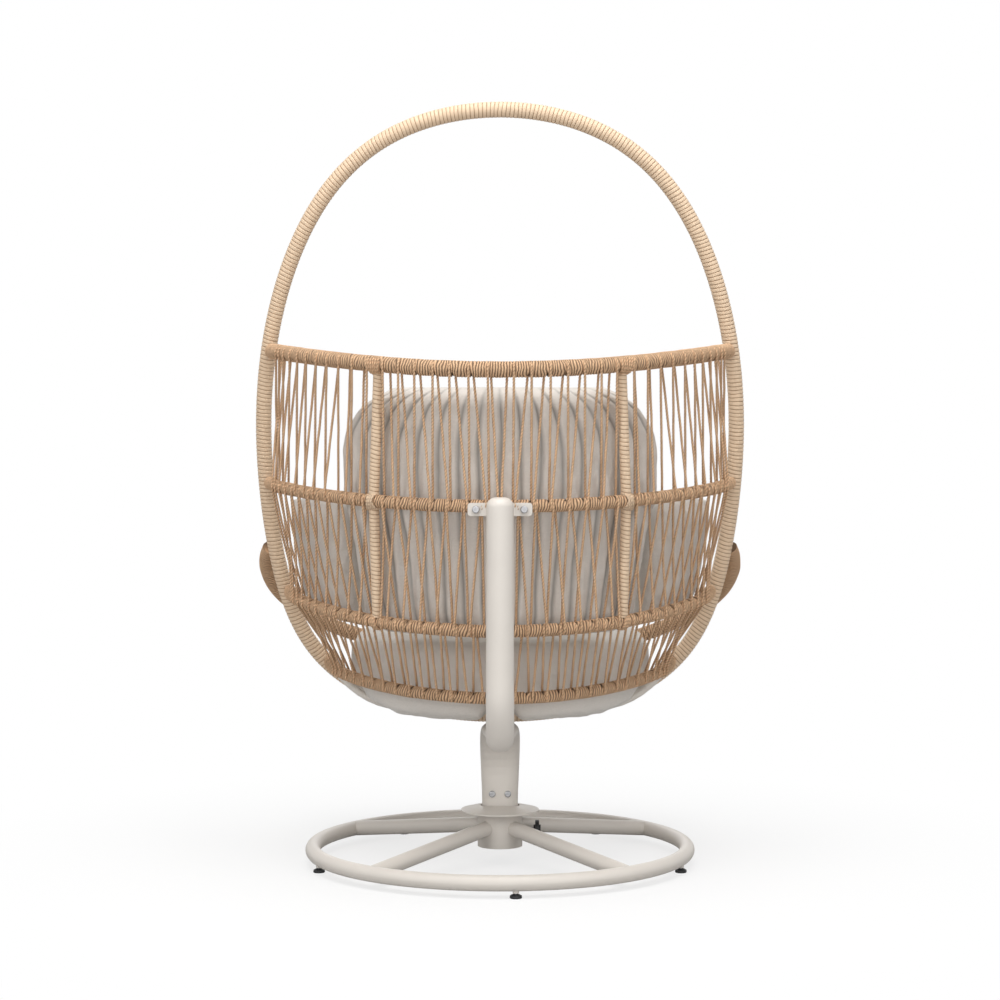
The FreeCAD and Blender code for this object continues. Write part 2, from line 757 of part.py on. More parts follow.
def front_net():
    """Ropes from the front rail back to the hoop's foot."""
    ropes = []
    for j in range(1, front_rope_pairs + 1):
        a, b = net_ends(j * front_rope_pitch)
        axis = (b - a).normalize()
        a = a + axis * (front_d / 2 + net_end_gap)
        b = b - axis * (hoop_d / 2 + net_end_gap)
        for side in (-1, 1):
            ropes.append(rope_bar(V(side * a.x, a.y, a.z), V(side * b.x, b.y, b.z), UP))
    return Part.makeCompound(ropes)


def rib_parts(rail_cutters):
    ribs = []
    for side in (-1, 1):
        for upper, lower in (("rail_1", "rail_2"), ("rail_2", "rail_3")):
            p = rail_point(upper, rail_angle_at(upper, rib_x[upper]))
            q = rail_point(lower, rail_angle_at(lower, rib_x[lower]))
            rib = cylinder(rib_d, V(side * p.x, p.y, p.z), V(side * q.x, q.y, q.z))
            ribs.append(rib.cut(rail_cutters[upper]).cut(rail_cutters[lower]))
    return {"ribs": Part.makeCompound(ribs)}


def clamp_parts():
    rail_rear = rail_point("rail_2", rail_angle_at("rail_2", clamp_bolt_x)).y + rail_specs["rail_2"]["d"] / 2
    front = rail_rear + SEAT_GAP
    low_z = clamp_z - clamp_height / 2
    plate = Part.makeBox(clamp_length, clamp_sheet, clamp_height, V(-clamp_length / 2, front, low_z))
    corners = [e for e in plate.Edges if e.BoundBox.YLength > clamp_sheet - 0.1 and e.BoundBox.XLength < 0.1]
    plate = plate.makeFillet(6, corners)
    cradle_half = arm_d_top * 0.35
    cradle = Part.makeBox(2 * cradle_half, arm_rear_y - front, clamp_height, V(-cradle_half, front, low_z))
    arm_clear = Part.makeCylinder(arm_d_low / 2 + SEAT_GAP, 200, V(0, arm_rear_y, clamp_z - 100))
    plate = plate.fuse(cradle).cut(arm_clear)
    near = [rail_point("rail_2", math.radians(a)) for a in (-12, -6, 0, 6, 12)]
    rail_cutter = bent_tube(near, rail_specs["rail_2"]["d"] + 2 * SEAT_GAP, 8)
    plate = plate.cut(rail_cutter)
    bolts = []
    for side in (-1, 1):
        seat = V(side * clamp_bolt_x, front + clamp_sheet, clamp_z)
        hole = Part.makeCylinder(clamp_bolt_d / 2 + 0.2, 40, seat + V(0, 5, 0), V(0, -1, 0))
        plate = plate.cut(hole)
        head = Part.makeCylinder(clamp_head_d / 2, clamp_head, seat + V(0, SEAT_GAP, 0), V(0, 1, 0))
        rim = [e for e in head.Edges if e.BoundBox.YMin > seat.y + clamp_head]
        head = head.makeFillet(clamp_head * 0.4, rim[:1])
        length = clamp_bolt_depth + clamp_sheet
        shank = Part.makeCylinder(clamp_bolt_d / 2, length, seat + V(0, SEAT_GAP, 0), V(0, -1, 0))
        socket = hex_prism(5.0, 4.0, seat + V(0, SEAT_GAP + clamp_head - 2.6, 0), V(0, 1, 0))
        bolts.append(head.fuse(shank).cut(socket))
    return {"clamp_plate": plate.removeSplitter(), "clamp_bolts": Part.makeCompound(bolts)}


def clamp_holes(rail):
    for side in (-1, 1):
        start = V(side * clamp_bolt_x, rail_specs["rail_2"]["rear_y"] + 60, clamp_z)
        depth = 60 + clamp_bolt_depth
        rail = rail.cut(Part.makeCylinder(clamp_bolt_d / 2 + RUN_GAP, depth, start, V(0, -1, 0)))
    return rail


def hoop_crest(x):
    """The hoop's centre low down at x, and the height of its top there."""
    low = 0.0
    high = math.pi / 2
    for _ in range(30):
        mid = (low + high) / 2
        low, high = (mid, high) if hoop_point(mid).x < x else (low, mid)
    centre = hoop_point(low)
    ahead = hoop_point(low + 0.02)
    slope = (ahead.z - centre.z) / max(ahead.x - centre.x, 0.1)
    return centre, centre.z + hoop_d / 2 * math.hypot(1, slope)


def seat_bottom(x, y):
    """Underside of the seat cushion: over the bars, the spine and the hoop, sagging behind the bars."""
    x = abs(x)
    low = max(bar_height(bar, x) for bar in bar_y) + bar_d / 2 + cushion_gap
    behind = blend(0, 1, (y - bar_y[0] - bar_d - 4) / 30)
    low -= behind * (seat_sag + 0.5 * pan_rise(x))
    groove = math.exp(-((x / seat_groove) ** 4))
    low += groove * (spine_height(max(y, -150)) + spine_d / 2 + seat_head + 2 * cushion_gap - low)
    centre, crest = hoop_crest(x)
    over = blend(1, 0, (abs(y - centre.y) - hoop_d / 2 - cushion_gap) / 35)
    low += over * max(crest + 2 * cushion_gap - low, 0)
    rail, foot = net_ends(x)
    share = min(max((foot.y - y) / (foot.y - rail.y), 0), 1)
    return max(low, foot.z + (rail.z - foot.z) * share + net_gap)


def seat_top(x, y):
    share = abs(x) / seat_half
    middle = (seat_front_y + 200) / 2
    return seat_top_z + seat_crown * (1 - ((y - middle) / 330) ** 2) - 36 * share ** 3


def rounded(value, power=0.42):
    """Squares off a circle's ordinate, for a boxed outline with soft edges."""
    return math.copysign(abs(value) ** power, value)


def seat_section(x):
    """The seat cushion's outline in the plane at x: along the bottom, round the rear, back along the top."""
    share = abs(x) / seat_half
    t = rail_angle_at("rail_4", x)
    inset = rail_specs["rail_4"]["d"] / 2 + rope_d + rope_gap
    rear = rail_point("rail_4", t).y - inset / rail_outward("rail_4", t).y
    front = seat_front_y + 60 * share ** 2
    tuck = 1 - 0.35 * (max(share - 0.9, 0) / 0.1) ** 2
    edge = seat_edge + 0.15 * (1 - tuck) * (rear - front)
    front += edge
    rear -= edge
    corner = []
    for degrees in (-60, -30, 0, 30, 60):
        a = math.radians(degrees)
        corner.append((seat_edge * rounded(math.cos(a), 0.6), rounded(math.sin(a), 0.6)))
    low_run = 16
    top_run = 6
    outline = [(front + (rear - front) * i / low_run, -1) for i in range(low_run + 1)]
    outline += [(rear + reach, level) for reach, level in corner]
    outline += [(rear - (rear - front) * i / top_run, 1) for i in range(top_run + 1)]
    outline += [(front - reach, -level) for reach, level in corner]
    points = []
    for y, level in outline:
        low = seat_bottom(x, y)
        high = seat_top(x, y)
        points.append(V(x, y, (low + high) / 2 + (high - low) / 2 * tuck * level))
    return Part.Wire([curve_through(points, closed=True).toShape()])


def seat_cushion():
    half = [seat_groove * k for k in (0.46, 1.0, 1.6)]
    half += [seat_half * k for k in (0.24, 0.385, 0.53, 0.657, 0.77, 0.865, 0.93, 0.971, 1.0)]
    stations = [-x for x in reversed(half)] + [0] + half
    return Part.makeLoft([seat_section(x) for x in stations], True, True)


def basket_inner(z, t):
    """A point on the basket's inner side, inside the inner ropes."""
    names = ("rail_1", "rail_2", "rail_3", "rail_4")
    for upper, lower in zip(names, names[1:]):
        a = rail_point(upper, t)
        b = rail_point(lower, t)
        if z >= b.z or lower == "rail_4":
            share = (z - b.z) / (a.z - b.z)
            p = b + (a - b) * share
            out = rail_outward(upper, t)
            inset = rail_specs[lower]["d"] / 2 + rope_d + rope_gap
            return V(p.x, p.y, z) - out * inset, out


def back_section(z, half, draw):
    """A channelled outline in plan: soft rolls on the rear and the front face."""
    reach = math.asin(half / 470)
    rear = []
    front = []
    for i in range(channel_count + 1):
        t = reach * (1 - 2 * i / channel_count)
        p, out = basket_inner(z, t)
        p = p - out * draw
        edge = 1 - abs(1 - 2 * i / channel_count) ** 6
        rear.append((p, out))
        front.append((p - out * ((back_thickness - 2 * draw) * (0.45 + 0.55 * edge)), out))
    edges = []
    for row, sign in ((rear, 1), (list(reversed(front)), -1)):
        for (a, out_a), (b, out_b) in zip(row, row[1:]):
            mid = (a + b) * 0.5 + (out_a + out_b) * (0.5 * sign * channel_crown)
            edges.append(Part.Arc(a, mid, b).toShape())
        other = front if sign == 1 else rear
        nxt = other[-1][0] if sign == 1 else other[0][0]
        last = row[-1][0]
        tangent = (row[-1][0] - row[-2][0]).normalize()
        mid = (last + nxt) * 0.5 + tangent * 16
        edges.append(Part.Arc(last, mid, nxt).toShape())
    return Part.Wire(edges)


def back_cushion():
    tiers = [
        (back_bottom_z, 0.84, 34), (back_bottom_z + 14, 0.87, 14), (back_bottom_z + 40, 0.89, 2),
        (back_top_z - 330, 0.90, 0), (back_top_z - 200, 0.95, 0), (back_top_z - 105, 1.0, 0),
        (back_top_z - 55, 0.94, 2), (back_top_z - 25, 0.87, 9), (back_top_z - 10, 0.80, 19),
        (back_top_z, 0.72, 36),
    ]
    return Part.makeLoft([back_section(z, back_half * k, draw) for z, k, draw in tiers], True, True)


def bolster_section(z, side, draw):
    """A bolster's outline in plan: two long sides joined by round ends."""
    rows = []
    low, high = (math.radians(a) for a in bolster_angles)
    steps = 5
    for i in range(steps + 1):
        t = low + (high - low) * (draw / 120 + (1 - draw / 60) * i / steps)
        p, out = basket_inner(z, t)
        rows.append((p - out * draw, p - out * (bolster_thickness - draw)))
    outer = [V(side * a.x, a.y, z) for a, b in rows]
    inner = [V(side * b.x, b.y, z) for a, b in reversed(rows)]
    edges = []
    for row, following in ((outer, inner), (inner, outer)):
        last = row[-1]
        first = following[0]
        way = ((last - row[-2]).normalize() + (first - following[1]).normalize()).normalize()
        crown = (last + first) * 0.5 + way * ((last - first).Length * bolster_end)
        edges += [curve_through(row).toShape(), Part.Arc(last, crown, first).toShape()]
    return Part.Wire(edges)


def bolster(side):
    tiers = []
    steps = 12
    middle = (bolster_bottom_z + bolster_top_z) / 2
    half = (bolster_top_z - bolster_bottom_z) / 2
    for k in range(steps + 1):
        a = math.pi * k / steps
        draw = bolster_round * (1 - rounded(max(math.sin(a), 0)))
        tiers.append((middle - half * rounded(math.cos(a)), draw))
    return Part.makeLoft([bolster_section(z, side, draw) for z, draw in tiers], True, True)


def basket_parts():
    parts = {}
    hoop_cutter = hoop_solid(hoop_d + 2 * SEAT_GAP)
    parts["hoop"] = hoop_solid(hoop_d)
    cutters = {}
    rails = {}
    for name, spec in rail_specs.items():
        rails[name] = rail_solid(name, spec["d"]).cut(hoop_cutter)
        cutters[name] = rail_solid(name, spec["d"] + 2 * SEAT_GAP)
    rails["rail_2"] = clamp_holes(rails["rail_2"])
    parts.update(rails)
    count = 16
    front_points = [front_point(-1 + 2 * i / count) for i in range(count + 1)]
    for i, p in enumerate(front_points):
        p.x = math.copysign(abs(p.x), i - count / 2) if i != count / 2 else 0
    parts["front_rail"] = bent_tube(front_points, front_d).cut(hoop_cutter)
    front_cutter = bent_tube(front_points, front_d + 2 * SEAT_GAP)
    parts.update(rib_parts(cutters))
    parts.update(clamp_parts())
    parts.update(seat_frame_parts(cutters["rail_4"], front_cutter))
    parts.update(rope_parts())
    parts["ropes_front"] = front_net()
    parts["seat_cushion"] = seat_cushion()
    parts["back_cushion"] = back_cushion()
    parts["left_bolster"] = bolster(1)
    parts["right_bolster"] = bolster(-1)
    return parts


def build():
    parts = {}
    for group in (base_parts, foot_parts, knob_parts, swivel_parts, arm_parts, basket_parts):
        parts.update(group())
    os.makedirs("parts", exist_ok=True)
    for name, shape in parts.items():
        solids = shape.Solids
        state = "ok" if shape.isValid() and all(s.isClosed() for s in solids) else "BAD"
        print(name, len(solids), "solids", round(shape.Volume), state)
        shape.exportStep("parts/%s.step" % name)


build()
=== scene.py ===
"""Looks of a swivel egg chair: woven cord, flat rattan winding, padded cushions and a powder-coated stand."""

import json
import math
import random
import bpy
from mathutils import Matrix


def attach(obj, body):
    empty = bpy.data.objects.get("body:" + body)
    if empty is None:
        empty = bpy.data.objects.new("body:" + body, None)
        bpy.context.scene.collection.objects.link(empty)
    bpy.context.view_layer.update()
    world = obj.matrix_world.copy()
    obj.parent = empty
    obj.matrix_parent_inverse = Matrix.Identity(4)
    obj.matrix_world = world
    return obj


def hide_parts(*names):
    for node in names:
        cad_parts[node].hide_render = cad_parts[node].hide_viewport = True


bl_info = {
    "name": "Swivel Egg Chair",
    "version": (1, 0, 0),
    "blender": (4, 5, 0),
    "location": "View3D > Sidebar > Egg Chair",
    "description": "Dresses a swivel egg chair with cord, rattan, cushions and a painted stand",
    "category": "Object",
}

import bmesh
import bpy
import numpy as np
from mathutils import Vector, noise

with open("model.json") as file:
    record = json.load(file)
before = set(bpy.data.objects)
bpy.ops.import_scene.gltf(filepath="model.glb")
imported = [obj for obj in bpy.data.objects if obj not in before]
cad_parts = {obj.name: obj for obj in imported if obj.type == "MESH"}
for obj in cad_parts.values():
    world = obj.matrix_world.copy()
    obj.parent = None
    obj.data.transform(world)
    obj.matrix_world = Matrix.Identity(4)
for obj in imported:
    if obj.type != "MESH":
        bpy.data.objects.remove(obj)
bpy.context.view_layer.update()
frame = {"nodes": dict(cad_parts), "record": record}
NODES = frame["nodes"]
UP = Vector((0, 0, 1))

# Camera: metres behind the swivel axis, height, tilt in degrees and lens
CAMERA_BACK = 4.7356
CAMERA_HEIGHT = 0.8858
CAMERA_TILT = 2.0
CAMERA_LENS = 85.93
SENSOR_WIDTH = 36.0

# Lamps: name, place, target, diameter and power
LAMPS = (
    ("Overhead", (0.0, 1.3, 3.9), (0, 0, 0.5), 3.0, 106),
    ("Left", (2.9, 3.0, 2.0), (0, 0, 0.6), 2.2, 40),
    ("Right", (-2.9, 3.0, 2.0), (0, 0, 0.6), 2.2, 33),
    ("Front", (0.0, -3.6, 2.2), (0, 0, 0.7), 2.6, 24),
    ("Low", (0.0, 4.2, 0.5), (0, 0, 0.1), 2.0, 24),
)
WORLD_STRENGTH = 0.30

# Floor: half its side, its grey for the camera and for other rays, and how it fades to white with distance
FLOOR_HALF = 12.0
FLOOR_SEEN = (0.93, 0.93, 0.93)
FLOOR_UNSEEN = (0.5, 0.5, 0.5)
FADE_DISTANCE = (0.40, 1.3)
FADE_SHARE = (0.72, 1.0)

# Hoop, in metres: its foot is y and z, and its shape is a sum of sines
HOOP_D = 0.032
HOOP_WIDTH = 0.955
HOOP_HEIGHT = 1.239
HOOP_LEAN = math.radians(10.0)
HOOP_FOOT = (-0.1946, 0.2688)
HOOP_SHAPE = (1.0, 0.048, 0.072, 0.0156, 0.011)

# Rails: height of the ends on the hoop, depth and height at the back, wrapped diameter
RAILS = {
    "rail_1": {"end_z": 1.016, "rear_y": 0.420, "rear_z": 0.971, "d": 0.030},
    "rail_2": {"end_z": 0.753, "rear_y": 0.3815, "rear_z": 0.722, "d": 0.024},
    "rail_3": {"end_z": 0.531, "rear_y": 0.345, "rear_z": 0.490, "d": 0.024},
    "rail_4": {"end_z": 0.384, "rear_y": 0.258, "rear_z": 0.356, "d": 0.023},
}
RAIL_TUCK = 0.010

# Front rail: its low point is y and z
FRONT_D = 0.030
FRONT_END_Z = 0.627
FRONT_OVERHANG = 0.005245
FRONT_LOW = (-0.435, 0.370)
FRONT_HALF_WIDTH = 0.487
FRONT_BULGE = 0.060

# Net between the front rail and the hoop's foot, where its ropes stand closer by a share
NET_PITCH = 0.034
NET_PAIRS = 9
NET_FOOT_SHARE = 0.92
BISECTIONS = 30

# Ribs between the rails: x where they cross each rail
RIB_D = 0.016
RIB_X = {"rail_1": 0.222, "rail_2": 0.234, "rail_3": 0.230}
RIB_TUCK = 0.002

# Lines and windings: points on a line, height over the tube, depth of the grooves, and how far a winding goes
LINE_SAMPLES = 400
LINE_STEP = 0.01
RAIL_STEP = 0.004
HOOP_SINK = 0.0002
HOOP_GROOVE = 0.0011
RIB_OVER = 0.0018
RIB_GROOVE = 0.0009
RAIL_OVER = 0.0008
RAIL_GROOVE = 0.0021
RAIL_TRIM = 2.2
FRONT_REACH = 0.978
STEPS_PER_TURN = 10

# Where ropes leave each rail's winding: first angle and step in degrees, and the side, 1 up or -1 down
NO_ROPE_PHASE = 0.1
MARKS = {
    "rail_1": (3.0, 4.25, -1.0), "rail_2": (3.6, 4.0, 1.0),
    "rail_3": (7.0, 4.3, 1.0), "rail_4": (4.0, 5.0, 1.0),
}

# Bands of ropes: piece, rails, layer at the upper rail, count, first angle and step in degrees, and the slope
# and shift that give the angle at the lower rail
BANDS = (
    ("ropes_upper_outer", "rail_1", "rail_2", 1, 18, 3.0, 4.25, 1.0, -0.4),
    ("ropes_upper_inner", "rail_1", "rail_2", -1, 17, 3.0, 4.25, 1.0, 0.0),
    ("ropes_middle_outer", "rail_2", "rail_3", 1, 19, 4.1, 4.0, 0.935, 0.2),
    ("ropes_middle_inner", "rail_2", "rail_3", -1, 17, 4.4, 4.05, 1.1, 2.5),
    ("ropes_lower_outer", "rail_3", "rail_4", 1, 17, 2.5, 4.15, 1.1, 1.2),
    ("ropes_lower_inner", "rail_3", "rail_4", -1, 16, 1.6, 4.0, 1.25, -2.0),
)

# Ropes: degrees round the rail and height over its winding where one comes out, then unevenness and limits
ROPE_EXIT = ((48, -0.0012), (28, 0.0009), (5, 0.0016), (-14, 0.0021), (-30, 0.0024))
ROPE_POINTS = 8
ROPE_WANDER = 0.0004
ROPE_BOW = 0.0026
BOW_TURN = 28.0
ANGLE_WANDER = 0.25
HIGHEST_ANGLE = 83.0
HIGHEST_SPREAD = 6.0
LOWEST_ANGLE = 0.5
LEAST_COSINE = 0.2
RIB_CLEAR = 0.0135

# Knots where a rib crosses a rail: strands, widths below and above the rail, lift, and angle of their ends
KNOT_STEPS = 16
KNOT_START = 105.0
KNOT_STAGGER = 0.0004
KNOT_TAPER = 0.9
CORD_KNOTS = (
    ("rail_1", 6, (-0.006, 0.006), (-0.008, 0.022), 0.0022, 45),
    ("rail_3", 4, (-0.009, -0.001), (0.001, 0.009), 0.0022, 80),
)
CANE_KNOTS = (
    ("rail_2", 3, (-0.011, -0.003), (0.003, 0.011), 0.0024, 95),
    ("rail_2", 3, (0.003, 0.011), (-0.011, -0.003), 0.0050, 95),
)

# Back cushion: its outline is half widths at heights, and it is bent to a radius
SEAM_GAP = 0.003
ROPE_ROOM = 0.004
BACK_THICKNESS = 0.120
BACK_BOTTOM = 0.473
BACK_TOP = 0.940
BACK_RADIUS = 0.409
BACK_WRAP = 1.04
BACK_SOFTENING = 0.02
BACK_ROUNDING = 0.045
BACK_BELLY = 0.012
EDGE_THICKNESS = 0.30
END_THICKNESS = 0.12
SEAM_DRIFT = 0.35
FOLD_HEIGHT = 0.0022
BACK_ROWS = 130
CHANNEL_COLUMNS = 10
OUTLINE_Z = (0.484, 0.510, 0.600, 0.672, 0.750, 0.842, 0.875, 0.912, 0.932, 0.944)
OUTLINE_HALF = (0.258, 0.267, 0.271, 0.275, 0.286, 0.289, 0.275, 0.250, 0.220, 0.190)

# Seat cushion and bolsters: shrunk and remeshed, then blown up as cloth by no more than the swell
SHRINK = 0.006
VOXEL = 0.006
PRESSURE = 4.0
SWELL = 0.007
CLOTH_FRAMES = 20
WELD = 0.00005
WAVE_HEIGHT = 0.0022
CREASE_HEIGHT = 0.0011

# The look of each material slot of the frame
LOOK_OF_SLOT = {
    "stand_paint": "paint", "clamp_paint": "paint", "bearing_plastic": "nylon",
    "black_plastic": "black", "fastener_steel": "steel", "flat_rattan": "rattan",
    "rope_wrap": "wrap", "rope": "cord", "cushion_linen": "linen",
}


# Lines of the frame


def hoop_profile(t):
    return sum(k * math.sin((i + 1) * t) for i, k in enumerate(HOOP_SHAPE))


HOOP_PEAK = max(hoop_profile(math.pi * i / LINE_SAMPLES) for i in range(LINE_SAMPLES + 1))


def hoop_point(t, side=1):
    """The hoop's centre line, from its foot at t = 0 to its crown at t = pi."""
    along = HOOP_HEIGHT / 2 * (1 - math.cos(t))
    x = side * HOOP_WIDTH / 2 * hoop_profile(t) / HOOP_PEAK
    return Vector((x, HOOP_FOOT[0] + along * math.sin(HOOP_LEAN), HOOP_FOOT[1] + along * math.cos(HOOP_LEAN)))


def hoop_at(z):
    along = (z - HOOP_FOOT[1]) / math.cos(HOOP_LEAN)
    return hoop_point(math.acos(1 - 2 * along / HOOP_HEIGHT))


RAIL_ENDS = {name: hoop_at(rail["end_z"]) - Vector((RAIL_TUCK, 0, 0)) for name, rail in RAILS.items()}


def rail_point(name, t):
    """A rail's centre line: t = 0 at the back, 90 degrees at the hoop."""
    rail = RAILS[name]
    end = RAIL_ENDS[name]
    y = end.y + (rail["rear_y"] - end.y) * math.cos(t)
    z = rail["rear_z"] + (rail["end_z"] - rail["rear_z"]) * math.sin(t) ** 2
    return Vector((end.x * math.sin(t), y, z))


def rail_outward(name, t):
    depth = RAILS[name]["rear_y"] - RAIL_ENDS[name].y
    return Vector((depth * math.sin(t), RAIL_ENDS[name].x * math.cos(t), 0)).normalized()


def rib_angle(name):
    """The angle at which a rib crosses a rail."""
    return math.asin(RIB_X[name] / RAIL_ENDS[name].x)


def front_point(t):
    """The front rail's centre line: t = 0 at the lowest front point, 1 at its end on the hoop."""
    end = hoop_at(FRONT_END_Z)
    run = Vector((0, FRONT_LOW[0] - end.y, FRONT_LOW[1] - FRONT_END_Z))
    semi = run.length - FRONT_BULGE
    t_end = math.acos(-FRONT_BULGE / semi)
    a = t * t_end
    along = (FRONT_BULGE + semi * math.cos(a)) / run.length
    draw_in = 1 - (end.x + FRONT_OVERHANG) / (FRONT_HALF_WIDTH * math.sin(t_end))
    x = FRONT_HALF_WIDTH * math.sin(a) * (1 - draw_in * t ** 8)
    return Vector((x, end.y + run.y * along, FRONT_END_Z + run.z * along))


def net_ends(x):
    """Centre points on the front rail and on the hoop's foot that one rope of the front net joins."""
    run = hoop_at(FRONT_END_Z) - Vector((0, *FRONT_LOW))
    run.x = 0
    semi = run.length - FRONT_BULGE
    rail = front_point(math.asin(x / FRONT_HALF_WIDTH) / math.acos(-FRONT_BULGE / semi))
    low, high = 0.0, math.pi / 2
    for _ in range(BISECTIONS):
        mid = (low + high) / 2
        low, high = (mid, high) if hoop_point(mid).x < x * NET_FOOT_SHARE else (low, mid)
    return rail, hoop_point(low)


def on_side(p, side):
    """The point itself for side 1, and its mirror image for side -1."""
    return Vector((side * p.x, p.y, p.z))


# Sizes and colours that a user would change


def length_setting(name, description, default):
    return bpy.props.FloatProperty(name=name, description=description, default=default, unit="LENGTH")


def color_setting(name, description, default):
    return bpy.props.FloatVectorProperty(
        name=name, description=description, default=default, size=3, subtype="COLOR"
    )


class EggChairWeave(bpy.types.PropertyGroup):
    strip_pitch: length_setting("Strip pitch", "Width of one turn of flat rattan", 0.0078)
    cord_width: length_setting("Cord width", "Diameter of the twisted cord", 0.0050)
    cord_lay: length_setting("Cord lay", "Length of one full twist of the cord", 0.013)
    turn_pitch: length_setting("Turn pitch", "Width of one turn of cord on a rail", 0.0050)
    rattan_color: color_setting("Rattan", "Flat strip on the hoop and ribs", (0.80, 0.61, 0.43))
    cord_color: color_setting("Cord", "Twisted cord of the rails and ropes", (0.905, 0.58, 0.355))


class EggChairCushions(bpy.types.PropertyGroup):
    channels: bpy.props.IntProperty(name="Channels", description="Sewn channels across the back", default=18)
    channel_crown: length_setting("Channel crown", "How far each channel stands out", 0.010)
    linen_color: color_setting("Linen", "Cushion fabric", (0.78, 0.735, 0.68))


class EggChairStand(bpy.types.PropertyGroup):
    paint_color: color_setting("Powder coat", "Painted steel of the stand", (0.755, 0.705, 0.645))


# Nodes


class Output:
    """A node's output. Numbers among them work in sums, so that a tree reads like the formula it stands for."""

    def __init__(self, socket):
        self.socket = socket
        self.tree = socket.id_data

    def __add__(self, other):
        return math_node("ADD", self, other)

    def __sub__(self, other):
        return math_node("SUBTRACT", self, other)

    def __rsub__(self, other):
        return math_node("SUBTRACT", other, self)

    def __mul__(self, other):
        return math_node("MULTIPLY", self, other)

    def __truediv__(self, other):
        return math_node("DIVIDE", self, other)

    def __pow__(self, other):
        return math_node("POWER", self, other)

    def __abs__(self):
        return math_node("ABSOLUTE", self)


def plug(value, target):
    """Links an output to an input socket, or sets the socket to a plain value."""
    if isinstance(value, Output):
        value.tree.links.new(value.socket, target)
    elif target.type == "RGBA":
        target.default_value = (*value[:3], 1.0)
    else:
        target.default_value = value


def add_node(tree, kind, inputs=None, output=0, **settings):
    """Adds a node with its settings, fills its inputs by name or number, and returns one of its outputs."""
    node = tree.nodes.new(kind)
    for name, value in settings.items():
        setattr(node, name, value)
    for name, value in (inputs or {}).items():
        plug(value, node.inputs[name])
    return Output(node.outputs[output])


def math_node(operation, *terms):
    """A math node on outputs and numbers, in the tree that the outputs belong to."""
    tree = next(term.tree for term in terms if isinstance(term, Output))
    return add_node(tree, "ShaderNodeMath", dict(enumerate(terms)), operation=operation)


def scaled(vector, factor):
    inputs = {0: vector, "Scale": factor}
    return add_node(vector.tree, "ShaderNodeVectorMath", inputs, operation="SCALE")


def map_range(value, source, target=(0.0, 1.0), interpolation="LINEAR"):
    """Takes a value from one range to another and keeps it inside."""
    inputs = {
        "Value": value, "From Min": source[0], "From Max": source[1],
        "To Min": target[0], "To Max": target[1],
    }
    return add_node(value.tree, "ShaderNodeMapRange", inputs, interpolation_type=interpolation)


BELL_BASE = 2.718


def groove_mask(share, sharpness):
    """A narrow bell over each joint between two turns, where the share of a turn starts again."""
    edge = math_node("MINIMUM", share, 1.0 - share)
    return math_node("POWER", BELL_BASE, edge ** 2.0 * -sharpness)


def new_group(name, kind, passes, values):
    """A node group that takes geometry or a colour and gives it back; its floats have names and defaults."""
    tree = bpy.data.node_groups.new(name, kind)
    for side in ("INPUT", "OUTPUT"):
        tree.interface.new_socket(name=passes, in_out=side, socket_type="NodeSocket" + passes)
    for title, value in values.items():
        made = tree.interface.new_socket(name=title, in_out="INPUT", socket_type="NodeSocketFloat")
        made.default_value = value
    if passes == "Geometry":
        tree.interface.new_socket(name="Material", in_out="INPUT", socket_type="NodeSocketMaterial")
    group_in = tree.nodes.new("NodeGroupInput")
    given = {socket.name: Output(socket) for socket in group_in.outputs if socket.name}
    return tree, given, tree.nodes.new("NodeGroupOutput").inputs[passes]


def set_inputs(modifier, values):
    for item in modifier.node_group.interface.items_tree:
        if item.in_out == "INPUT" and item.name in values:
            modifier[item.identifier] = values[item.name]


# Geometry node trees


def store(geometry, name, value):
    inputs = {"Geometry": geometry, "Name": name, "Value": value}
    return add_node(
        geometry.tree, "GeometryNodeStoreNamedAttribute", inputs, data_type="FLOAT", domain="POINT"
    )


def stored(tree, name):
    return add_node(
        tree, "GeometryNodeInputNamedAttribute", {"Name": name}, "Attribute", data_type="FLOAT"
    )


def swept_profile(tree, given, sides):
    """The input curve resampled, and a circle, each carrying its own attribute for patterns."""
    inputs = {"Curve": given["Geometry"], "Length": given["Step"]}
    curve = add_node(tree, "GeometryNodeResampleCurve", inputs, mode="LENGTH")
    length = add_node(tree, "GeometryNodeSplineParameter", output="Length")
    inputs = {"Resolution": sides, "Radius": given["Radius"]}
    circle = add_node(tree, "GeometryNodeCurvePrimitiveCircle", inputs)
    turn = add_node(tree, "GeometryNodeSplineParameter", output="Factor")
    return store(curve, "along", length), store(circle, "around", turn), length, turn


def sweep(given, result, curve, profile, turn, offset=None, hollow_and_shade=None):
    """Sweeps the profile, keeps the turn count on the mesh and pushes it along its normals."""
    tree = curve.tree
    inputs = {"Curve": curve, "Profile Curve": profile, "Fill Caps": True}
    mesh = store_turn(add_node(tree, "GeometryNodeCurveToMesh", inputs), turn)
    # the hollow mask, kept for the cord material's painted shade in the gap
    if hollow_and_shade is not None:
        mesh = store(mesh, "hollow_and_shade", hollow_and_shade)
    if offset is not None:
        push = scaled(add_node(tree, "GeometryNodeInputNormal"), offset)
        mesh = add_node(tree, "GeometryNodeSetPosition", {"Geometry": mesh, "Offset": push})
    for kind in ("GeometryNodeSetShadeSmooth", "GeometryNodeRealizeInstances"):
        mesh = add_node(tree, kind, {"Geometry": mesh})
    inputs = {"Geometry": mesh, "Material": given["Material"]}
    plug(add_node(tree, "GeometryNodeSetMaterial", inputs), result)


def store_turn(geometry, turn):
    """Keeps a turn count on the mesh as sine and cosine, so that it has no seam."""
    angle = turn * (2 * math.pi)
    geometry = store(geometry, "turn_sin", math_node("SINE", angle))
    return store(geometry, "turn_cos", math_node("COSINE", angle))


